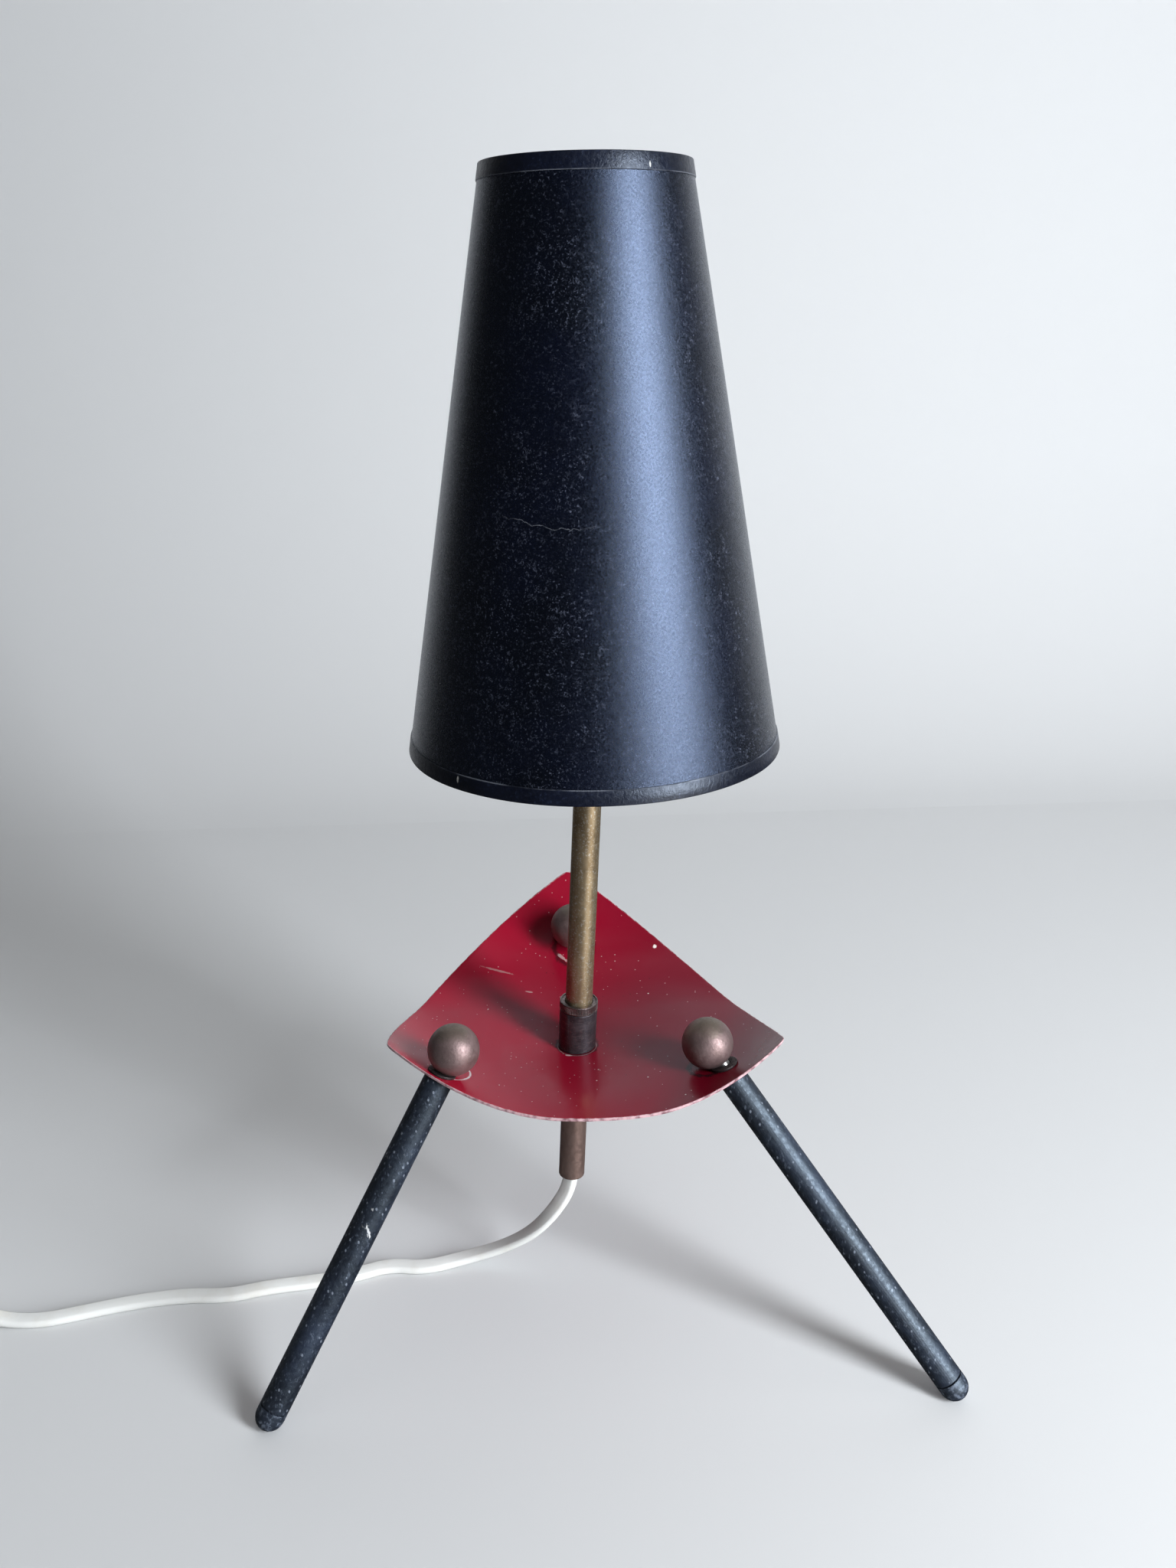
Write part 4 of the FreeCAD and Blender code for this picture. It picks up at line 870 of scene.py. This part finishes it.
def aged_ball_finish():
    """Brown, turning greenish-grey and darker where the surface faces up, rubbed paler in fine
    specks.
    """
    finish = new_finish("aged_brass_balls", (0.2, 0.15, 0.14), 0.42, 0.7)
    tree = finish.node_tree
    cloud = patches(tree, (160, 5, 0.6), 0.35, 0.7)
    brown = mix(cloud, (0.26, 0.182, 0.178), (0.185, 0.128, 0.122))
    facing = tree.nodes.new("ShaderNodeSeparateXYZ")
    tree.links.new(tree.nodes.new("ShaderNodeNewGeometry").outputs["Normal"], facing.inputs[0])
    # Tint set by which way the surface faces: greener and darker towards the top.
    upper = ramp(plus(facing.outputs["Z"], times(noise(tree, 200, 3), 0.5)), 0.85, 1.25, 0.0, 0.75)
    brown_tinted_facing_up = mix(upper, brown, (0.165, 0.14, 0.105))
    specks = patches(tree, (1600, 4, 0.7), 0.58, 0.72, 0.0, 0.6)
    return surface(finish, mix(specks, brown_tinted_facing_up, (0.38, 0.31, 0.28)),
                   patches(tree, (700, 4), 0.3, 0.7, 0.42, 0.60),
                   noise(tree, 1200, 4, 0.65), 0.08 * MM)


ball_places = []
for facts in LEG_FACTS.values():
    spot, up, normal = leg_seat(facts)
    rise = WASHER_T + math.sqrt(BALL_R ** 2 - BALL_FLAT_R ** 2)
    ball_places.append((spot + up * (rise / up.dot(normal)), normal))
balls = laid_out("brass_balls", turned_piece("ball_master", ball_profile()), ball_places,
                 aged_ball_finish())
put(balls, "ball_nuts", "base")
# The washers' steel is coloured nearly black: partly soot, partly painted shade under the balls.
sooty_steel_painted_shade = metal_finish("washer_steel_soot_and_painted_shade", (0.12, 0.10, 0.10), (0.02, 0.015, 0.015), 0.6)
dressed("ball_washers", sooty_steel_painted_shade, "base", 0.2, "steel")


# ==== Collar and clamp ring ====
# A turned brass socket, nearly black with age, nutted through the sheet. On its top sits a
# knurled ring with pale worn rims that closes a split cone on the stem.
RING_R = 7.1 * MM
RING_LOW, RING_HIGH = 16.4 * MM, 19.6 * MM
KNURL_TEETH, KNURL_SUNK = 74, 0.2 * MM
STEM_FRAME = Matrix.Translation((0, 0, PLATE_Z)) @ Matrix.Rotation(STEM_LEAN, 4, "Y")


def collar_finish():
    """Dark brass with faint, paler turning lines and worn, brighter specks."""
    finish = new_finish("dark_collar_brass", (0.12, 0.098, 0.1), 0.42, 0.7)
    tree = finish.node_tree
    cloud = patches(tree, (220, 5, 0.65), 0.35, 0.7)
    ground = mix(cloud, (0.082, 0.070, 0.080), (0.042, 0.036, 0.043))
    lines = patches(tree, (300, 3, 0.6, (1, 1, 12)), 0.5, 0.75, 0.0, 0.5)
    ground = mix(lines, ground, (0.25, 0.20, 0.19))
    specks = patches(tree, (1500, 4, 0.7), 0.6, 0.74, 0.0, 0.6)
    return surface(finish, mix(specks, ground, (0.34, 0.3, 0.28)),
                   patches(tree, (500, 4), 0.3, 0.7, 0.36, 0.5),
                   noise(tree, 900, 4, 0.65, (1, 1, 4)), 0.06 * MM)


dressed("collar", collar_finish(), "base", 0.35, "dark_brass")
dressed("clamp_cone", yellow_brass, "base", 0, "aged_brass")
dressed_alike(zinc_steel, "base", "steel", collar_washer=0.1, collar_nut=0.3)


def ring_of(name, core, tooth, count, radius, height, finish):
    """A turned core with a ring of equal teeth round it, set out by a node tree."""
    tree, nodes = layout_tree(
        name + "_ring", {"Core": "Geometry", "Tooth": "Object", "Count": "Int",
                         "Radius": "Float", "Height": "Float"},
        circle="GeometryNodeCurvePrimitiveCircle", spaced="GeometryNodeCurveToPoints",
        lift="GeometryNodeTransform", place="ShaderNodeCombineXYZ",
        look_up="GeometryNodeObjectInfo", copies="GeometryNodeInstanceOnPoints",
        joined="GeometryNodeJoinGeometry", real="GeometryNodeRealizeInstances",
        painted="GeometryNodeSetMaterial")
    nodes["spaced"].mode = "COUNT"
    nodes["painted"].inputs["Material"].default_value = finish
    nodes["circle"].inputs["Resolution"].default_value = 256
    wire(tree, nodes, ("entry", "Radius", "circle", "Radius"), ("circle", 0, "spaced", "Curve"),
         ("entry", "Count", "spaced", "Count"), ("entry", "Height", "place", "Z"),
         ("spaced", "Points", "lift", "Geometry"), ("place", 0, "lift", "Translation"),
         ("lift", 0, "copies", "Points"), ("entry", "Tooth", "look_up", "Object"),
         ("look_up", "Geometry", "copies", "Instance"),
         ("spaced", "Rotation", "copies", "Rotation"), ("copies", 0, "joined", 0),
         ("entry", "Core", "joined", 0), ("joined", 0, "real", 0), ("real", 0, "painted", 0),
         ("painted", 0, "leave", 0))
    return made_plain(core, tree, tooth, Tooth=tooth, Count=count, Radius=radius, Height=height)


def clamp_ring():
    """Two plain rims, a sunk knurled band and a shallow mouth round the stem."""
    rim, sunk, mouth = 0.45 * MM, RING_R - KNURL_SUNK, 6.45 * MM
    low, top = RING_LOW, RING_HIGH
    lip_r, lip_low, lip_high = 5.3 * MM, 17.7 * MM, 19.2 * MM
    core = turned_piece("clamp_ring_knurled", [
        (lip_r, lip_high), (mouth, lip_high), (mouth, top - 0.12 * MM),
        (mouth + 0.1 * MM, top - 0.02 * MM), (RING_R - 0.25 * MM, top),
        (RING_R - 0.1 * MM, top - 0.06 * MM), (RING_R, top - 0.2 * MM), (RING_R, top - rim),
        (sunk, top - rim - 0.1 * MM), (sunk, low + rim + 0.1 * MM), (RING_R, low + rim),
        (RING_R, low + 0.12 * MM), (RING_R - 0.12 * MM, low), (6.27 * MM, low),
        (6.27 * MM, lip_low), (lip_r, lip_low)])
    half_tall = (top - low) / 2 - rim
    half_wide, deep = 0.2 * MM, 0.2 * MM
    # a point on the circle is turned so that +X looks outwards and +Z follows the circle
    corners = [(-deep / 2, -half_wide), (-deep / 2, half_wide), (deep, 0)]
    tooth = mesh_piece("knurl_tooth", [(x, y, z) for y in (-half_tall, half_tall)
                                       for x, z in corners],
                       [(0, 1, 2), (3, 5, 4), (0, 3, 4, 1), (1, 4, 5, 2), (2, 5, 3, 0)])
    return core, tooth


ring_core, knurl_tooth = clamp_ring()
worn_ring = metal_finish("worn_ring_brass", (0.30, 0.25, 0.24), (0.10, 0.08, 0.082), 0.42)
knurled = ring_of("clamp_ring_knurled", ring_core, knurl_tooth, KNURL_TEETH,
                  RING_R - KNURL_SUNK, (RING_LOW + RING_HIGH) / 2, worn_ring)
knurled.data.transform(STEM_FRAME)
put(knurled, "clamp_ring", "clamp_ring")


# ==== Stem ====
# A 10 mm brass tube that slides in the collar. Above the sheet it has gone golden olive with
# rubbed specks; below it is brown, partly a duller patina and partly painted shade and
# reflection. A black bush lines its lower end round the cord.
def stem_finish():
    """Olive above the sheet and brown below it, partly duller patina and partly painted shade and
    reflection, with rubbed specks.
    """
    finish = new_finish("aged_stem_brass", (0.42, 0.34, 0.22), 0.34, 0.85)
    tree = finish.node_tree
    cloud = patches(tree, (170, 5, 0.65, (1, 1, 0.35)), 0.35, 0.68)
    olive = mix(cloud, (0.37, 0.285, 0.175), (0.235, 0.17, 0.095))
    rubbed = patches(tree, (1300, 4, 0.7), 0.52, 0.68, 0.0, 0.8)
    olive = mix(rubbed, olive, (0.60, 0.58, 0.52))
    brown = mix(cloud, (0.42, 0.29, 0.25), (0.30, 0.20, 0.17))
    # Below the sheet the tube is painted brown: partly a duller patina, partly painted shade and
    # reflection from under the sheet.
    below = ramp(coordinates(tree)["Z"], 0.106, 0.112, 1.0, 0.0)
    return surface(finish, mix(below, olive, brown),
                   patches(tree, (600, 4), 0.3, 0.7, 0.36, 0.5),
                   noise(tree, 1300, 4, 0.65), 0.04 * MM)


dressed("stem_tube", stem_finish(), "stem", 0.15, "aged_brass")
dark_bakelite = plastic_finish("dark_bakelite", (0.02, 0.016, 0.014), (0.05, 0.042, 0.038), 0.3)
dressed("outlet_bush", dark_bakelite, "stem", 0.1, "dark_plastic")
dressed("inner_flex", white_pvc, "stem", 0, "white_cord")


# ==== Lampholder ====
# A brown-black moulded holder screwed on the stem's top, with a ceramic core, two terminal
# screws, a threaded brass shell and a skirt whose flange carries the shade.
ceramic = plastic_finish("glazed_ceramic", (0.78, 0.76, 0.7), (0.62, 0.58, 0.5), 0.24)
dressed_alike(dark_bakelite, "stem", "dark_plastic", holder_cap=0.4, holder_skirt=0.4)
dressed("holder_core", ceramic, "stem", 0.2, "ceramic")
dressed_alike(yellow_brass, "stem", "aged_brass", terminal_screws=0.1, screw_shell=0.1,
              centre_contact=0.1)
dressed("shade_ring_nut", dark_bakelite, "ring_nut", 0.3, "dark_plastic")


# ==== Bulb ====
# A small round opal bulb with a screw cap, a glass mount and a coiled filament inside.
def opal_finish():
    """White glass, faintly yellowed in clouds."""
    finish = new_finish("opal_glass", (0.84, 0.83, 0.79), 0.22)
    cloud = patches(finish.node_tree, (60, 3), 0.35, 0.7)
    return surface(finish, mix(cloud, (0.86, 0.85, 0.81), (0.78, 0.76, 0.7)))


BULB_CENTRE, BULB_R = 199.0 * MM, 22.5 * MM
NECK_LOW, NECK_R = 156.0 * MM, 6.5 * MM
GLASS_T = 0.7 * MM


def bulb_profile():
    """Neck, flare and ball of the glass: its outer and its inner line."""
    outside = [(NECK_R, NECK_LOW), (NECK_R, NECK_LOW + 6.2 * MM)]
    join = math.radians(-53)
    end = (BULB_R * math.cos(join), BULB_CENTRE + BULB_R * math.sin(join))
    start = outside[-1]
    for step in range(1, 8):
        t = step / 8
        bend = (start[0] + 0.8 * MM, start[1] + 8 * MM)
        outside.append(tuple((1 - t) ** 2 * start[i] + 2 * t * (1 - t) * bend[i] + t * t * end[i]
                             for i in (0, 1)))
    for step in range(41):
        angle = join + (math.pi / 2 - join) * step / 40
        outside.append((BULB_R * math.cos(angle), BULB_CENTRE + BULB_R * math.sin(angle)))
    outside[-1] = (0.0, BULB_CENTRE + BULB_R)
    inside = [(max(r - GLASS_T, 0.0), z - GLASS_T * (r < 1e-6)) for r, z in reversed(outside)]
    return outside, inside


glass_outside, glass_inside = bulb_profile()
bulb = turned_piece("bulb_opal_glass", glass_outside[::-1] + [(NECK_R - GLASS_T, NECK_LOW)]
                    + glass_inside[::-1][1:])
bulb.data.transform(STEM_FRAME)
bulb.data.materials.append(opal_finish())
put(bulb, "bulb_glass", "bulb")
dressed_alike(zinc_steel, "bulb", "steel", bulb_cap=0.2, bulb_filament=0)
dressed("bulb_tip", dark_bakelite, "bulb", 0.1, "dark_plastic")
clear_glass = new_finish("clear_glass", (0.9, 0.93, 0.92), 0.05, Transmission_Weight=0.9)
dressed("bulb_mount", clear_glass, "bulb", 0, "clear_glass")


# ==== Shade carrier ====
# A flat ring held on the lampholder, with two pins on which a wire frame tilts: a hoop, three
# arms and the bottom ring, all in white enamel.
enamel = plastic_finish("white_enamel", (0.74, 0.72, 0.67), (0.5, 0.44, 0.36), 0.4)
dressed("fitter", enamel, "fitter", 0.2, "frame_wire")
dressed("tilt_pins", yellow_brass, "fitter", 0.15, "aged_brass")
dressed_alike(enamel, "shade", "frame_wire", shade_hoop=0, shade_arms=0, shade_bottom_ring=0,
              shade_top_ring=0)


# ==== Paper shade ====
# Stiff satin paper, black with a blue cast outside and pale inside, rolled to a cone with one
# lapped seam at the back. It is mottled with pale fibres and has one fine crack.
SHADE_X = 8.234 * MM
SHADE_LOW, SHADE_HIGH = 229.0 * MM, 410.0 * MM
SHADE_LOW_R, SHADE_HIGH_R = 63.6 * MM, 32.1 * MM
PAPER_T, TAPE_T = 0.6 * MM, 0.35 * MM
TAPE_TALL = 4.9 * MM
SHADE_MID_R = 49.3 * MM
LAP_RISE, LAP_ANGLE = TAPE_T - 0.06 * MM, 0.16
SHADE_SIDES = 288


def shade_radius(z):
    """Outer radius of the taped shade at a height."""
    share = (z - SHADE_LOW) / (SHADE_HIGH - SHADE_LOW)
    return SHADE_LOW_R + share * (SHADE_HIGH_R - SHADE_LOW_R)


def shade_ripple(angle, z):
    """How the paper strays from a true cone."""
    share = (z - SHADE_LOW) / (SHADE_HIGH - SHADE_LOW)
    swell = 0.16 * math.sin(2 * angle + 0.6) + 0.09 * math.sin(5 * angle + 3 * share)
    return (swell * math.sin(math.pi * share) + 0.05 * math.sin(9 * angle)) * MM


def round_shade(radius, angle, z):
    """A point at a radius and bearing from the shade's axis."""
    return SHADE_X + radius * math.cos(angle), radius * math.sin(angle), z


def paper_cone():
    """Outer and inner face of the paper, joined at both edges; the lap is at the back."""
    sides, levels = SHADE_SIDES, 64
    low, high = SHADE_LOW + TAPE_T, SHADE_HIGH - TAPE_T
    points, faces, inner = [], [], []
    for wall in (0, 1):
        for level in range(levels + 1):
            z = low + (high - low) * level / levels
            for k in range(sides):
                angle = 2 * math.pi * k / sides
                past = (angle - math.pi / 2) % (2 * math.pi)
                radius = shade_radius(z) - TAPE_T - wall * PAPER_T + shade_ripple(angle, z)
                radius += LAP_RISE * (past < LAP_ANGLE) * (1 - wall)
                points.append(round_shade(radius, angle, z))
                inner.append(float(wall))
    layer = (levels + 1) * sides
    for level in range(levels):
        for k in range(sides):
            a, b = level * sides + k, level * sides + (k + 1) % sides
            faces.append((a, b, b + sides, a + sides))
            faces.append((a + layer, a + layer + sides, b + layer + sides, b + layer))
    for base in (0, levels * sides):
        for k in range(sides):
            a, b = base + k, base + (k + 1) % sides
            rim = (a, a + layer, b + layer, b)
            faces.append(rim if base == 0 else rim[::-1])
    cone = mesh_piece("paper_cone", points, faces)
    lining = cone.data.attributes.new("lining", "FLOAT", "POINT")
    lining.data.foreach_set("value", inner)
    return smoothed(cone, 40)


def on_shade(degrees, z, lift=0.0):
    """A place on the shade's outside; 0 degrees faces the viewer, + is to the right."""
    return round_shade(shade_radius(z) - TAPE_T + lift, math.radians(degrees - 90), z)


def crack_line(tree, first, last, height):
    """Mask of one fine wandering crack on the shade, from one bearing to another.

    Bearings are in degrees from the viewer's side, + to the right. The crack falls to its height
    in the middle, rises a little again and fades."""
    place = coordinates(tree)
    middle = math.radians((first + last) / 2)
    half = SHADE_MID_R * math.sin(math.radians((last - first) / 2))
    share = over(minus(place["X"], SHADE_X + SHADE_MID_R * math.sin(middle)), half)
    wander = times(minus(noise(tree, 150, 3), 0.5), 6 * MM)
    from_middle = absolute(share)
    rise = minus(times(from_middle, 2.2 * MM), times(share, 1.0 * MM))
    line = plus(plus(wander, height), rise)
    near = ramp(absolute(minus(place["Z"], line)), 0.04 * MM, 0.15 * MM, 1.0, 0.0)
    ends = times(ramp(from_middle, 0.85, 1.0, 1.0, 0.0), ramp(share, 0.0, 0.9, 1.0, 0.3))
    broken = patches(tree, (260, 2), 0.36, 0.52, 0.2, 1.0)
    return times(times(times(near, ends), less_than(place["Y"], 0.0)), broken)


def curled_hairs(tree, scale, width, share):
    """Mask of short curled fibres: thin level lines of a noise, kept here and there."""
    level = absolute(minus(noise(tree, scale, 1.5), 0.5))
    thread = ramp(level, width * 0.4, width, 1.0, 0.0)
    return times(thread, patches(tree, (scale * 0.55, 2), 0.66 - share, 0.72 - share))


def paper_finish():
    """Black outside with pale fibres and one crack, and aged white inside."""
    finish = new_finish("satin_black_paper", (0.002, 0.0025, 0.006), 0.38,
                        Specular_IOR_Level=0.85, Specular_Tint=(0.54, 0.68, 1.0, 1))
    tree = finish.node_tree
    cloud = patches(tree, (30, 4, 0.6), 0.35, 0.7)
    black = mix(cloud, (0.0003, 0.0004, 0.0014), (0.0009, 0.0014, 0.0058))
    fibres = patches(tree, (1350, 5, 0.75), 0.57, 0.70)
    specks = larger(fibres, times(curled_hairs(tree, 950, 0.03, 0.10), 0.5))
    mottle = times(specks, patches(tree, (34, 4, 0.65), 0.34, 0.62, 0.30, 1.0))
    outside = mix(mottle, black, (0.130, 0.145, 0.200))
    outside = mix(crack_line(tree, -33, 2, 309.5 * MM), outside, (0.10, 0.105, 0.12))
    inside = ramp(stored_value(tree, "lining"), 0.4, 0.6)
    aged = mix(patches(tree, (50, 4), 0.35, 0.7), (0.72, 0.68, 0.58), (0.6, 0.54, 0.42))
    grain = patches(tree, (1500, 5, 0.7), 0.35, 0.65, 0.21, 0.33)
    return surface(finish, mix(inside, outside, aged), plus(grain, times(inside, 0.3)),
                   noise(tree, 1900, 4, 0.75), 0.10 * MM)


paper = paper_cone()
paper.data.materials.append(paper_finish())
put(paper, "shade_paper", "shade")


# ==== Edge tapes ====
# Navy paper tape folded over both edges of the shade. Its free edge shows as a fine pale
# line, and it has a small chip low on the left and a nick at the top.
def tape(name, edge_z, inward):
    """Band outside the paper with a lip over its edge, following the paper's ripple."""
    section = [(1.0 * MM + PAPER_T, 0.0), (1.0 * MM + PAPER_T, TAPE_T), (TAPE_T, TAPE_T),
               (TAPE_T, TAPE_TALL), (0.12 * MM, TAPE_TALL), (0.0, TAPE_TALL - 0.15 * MM),
               (0.0, 0.2 * MM), (0.06 * MM, 0.06 * MM), (0.2 * MM, 0.0)]
    random.seed(7 if inward > 0 else 9)
    drift = [random.uniform(-1, 1) for _ in range(24)]
    points = []
    for k in range(SHADE_SIDES):
        angle = 2 * math.pi * k / SHADE_SIDES
        wander = sum(drift[n] * math.sin((n + 1) * angle + n) / (n + 3) for n in range(12))
        for inset, height in section:
            free = height > TAPE_TALL - 0.5 * MM
            z = edge_z + inward * (height + free * wander * 0.18 * MM)
            radius = shade_radius(z) - inset + shade_ripple(angle, z)
            points.append(round_shade(radius, angle, z))
    faces = joined_rings(SHADE_SIDES, len(section), closed=True)
    return smoothed(mesh_piece(name, points, faces), 40)


def tape_finish(name, edge_z, inward, chips):
    """Navy paper with a pale line along its free edge; chips are (place, half sizes)."""
    finish = new_finish(name, (0.008, 0.011, 0.025), 0.34, Specular_IOR_Level=0.6,
                        Specular_Tint=(0.75, 0.84, 1.0, 1))
    tree = finish.node_tree
    cloud = patches(tree, (60, 4, 0.6), 0.35, 0.7)
    navy = mix(cloud, (0.0012, 0.0018, 0.006), (0.003, 0.0045, 0.013))
    fibres = patches(tree, (1000, 5, 0.75), 0.55, 0.70, 0.0, 0.5)
    navy = mix(fibres, navy, (0.03, 0.042, 0.085))
    off = absolute(minus(coordinates(tree)["Z"], edge_z + inward * TAPE_TALL))
    faint = patches(tree, (45, 4, 0.65), 0.42, 0.6, 0.05, 0.8)
    pale = times(ramp(off, 0.10 * MM, 0.34 * MM, 1.0, 0.0), faint)
    colour = mix(pale, navy, (0.13, 0.14, 0.165))
    for centre, size in chips:
        colour = mix(mark_at(tree, centre, size), colour, (0.45, 0.44, 0.42))
    return surface(finish, colour, patches(tree, (900, 4), 0.3, 0.7, 0.28, 0.42),
                   noise(tree, 900, 4, 0.7), 0.16 * MM)


for name, node, edge_z, inward, chips in (
        ("tape_at_top", "top_tape", SHADE_HIGH, -1,
         [(on_shade(31, 406.6 * MM, TAPE_T), (0.42 * MM, 0.42 * MM, 1.3 * MM))]),
        ("tape_at_bottom", "bottom_tape", SHADE_LOW, 1,
         [(on_shade(-45, 232.4 * MM, TAPE_T), (0.6 * MM, 0.6 * MM, 1.6 * MM))])):
    band = tape(name, edge_z, inward)
    band.data.materials.append(tape_finish("navy_" + name, edge_z, inward, chips))
    put(band, node, "shade")
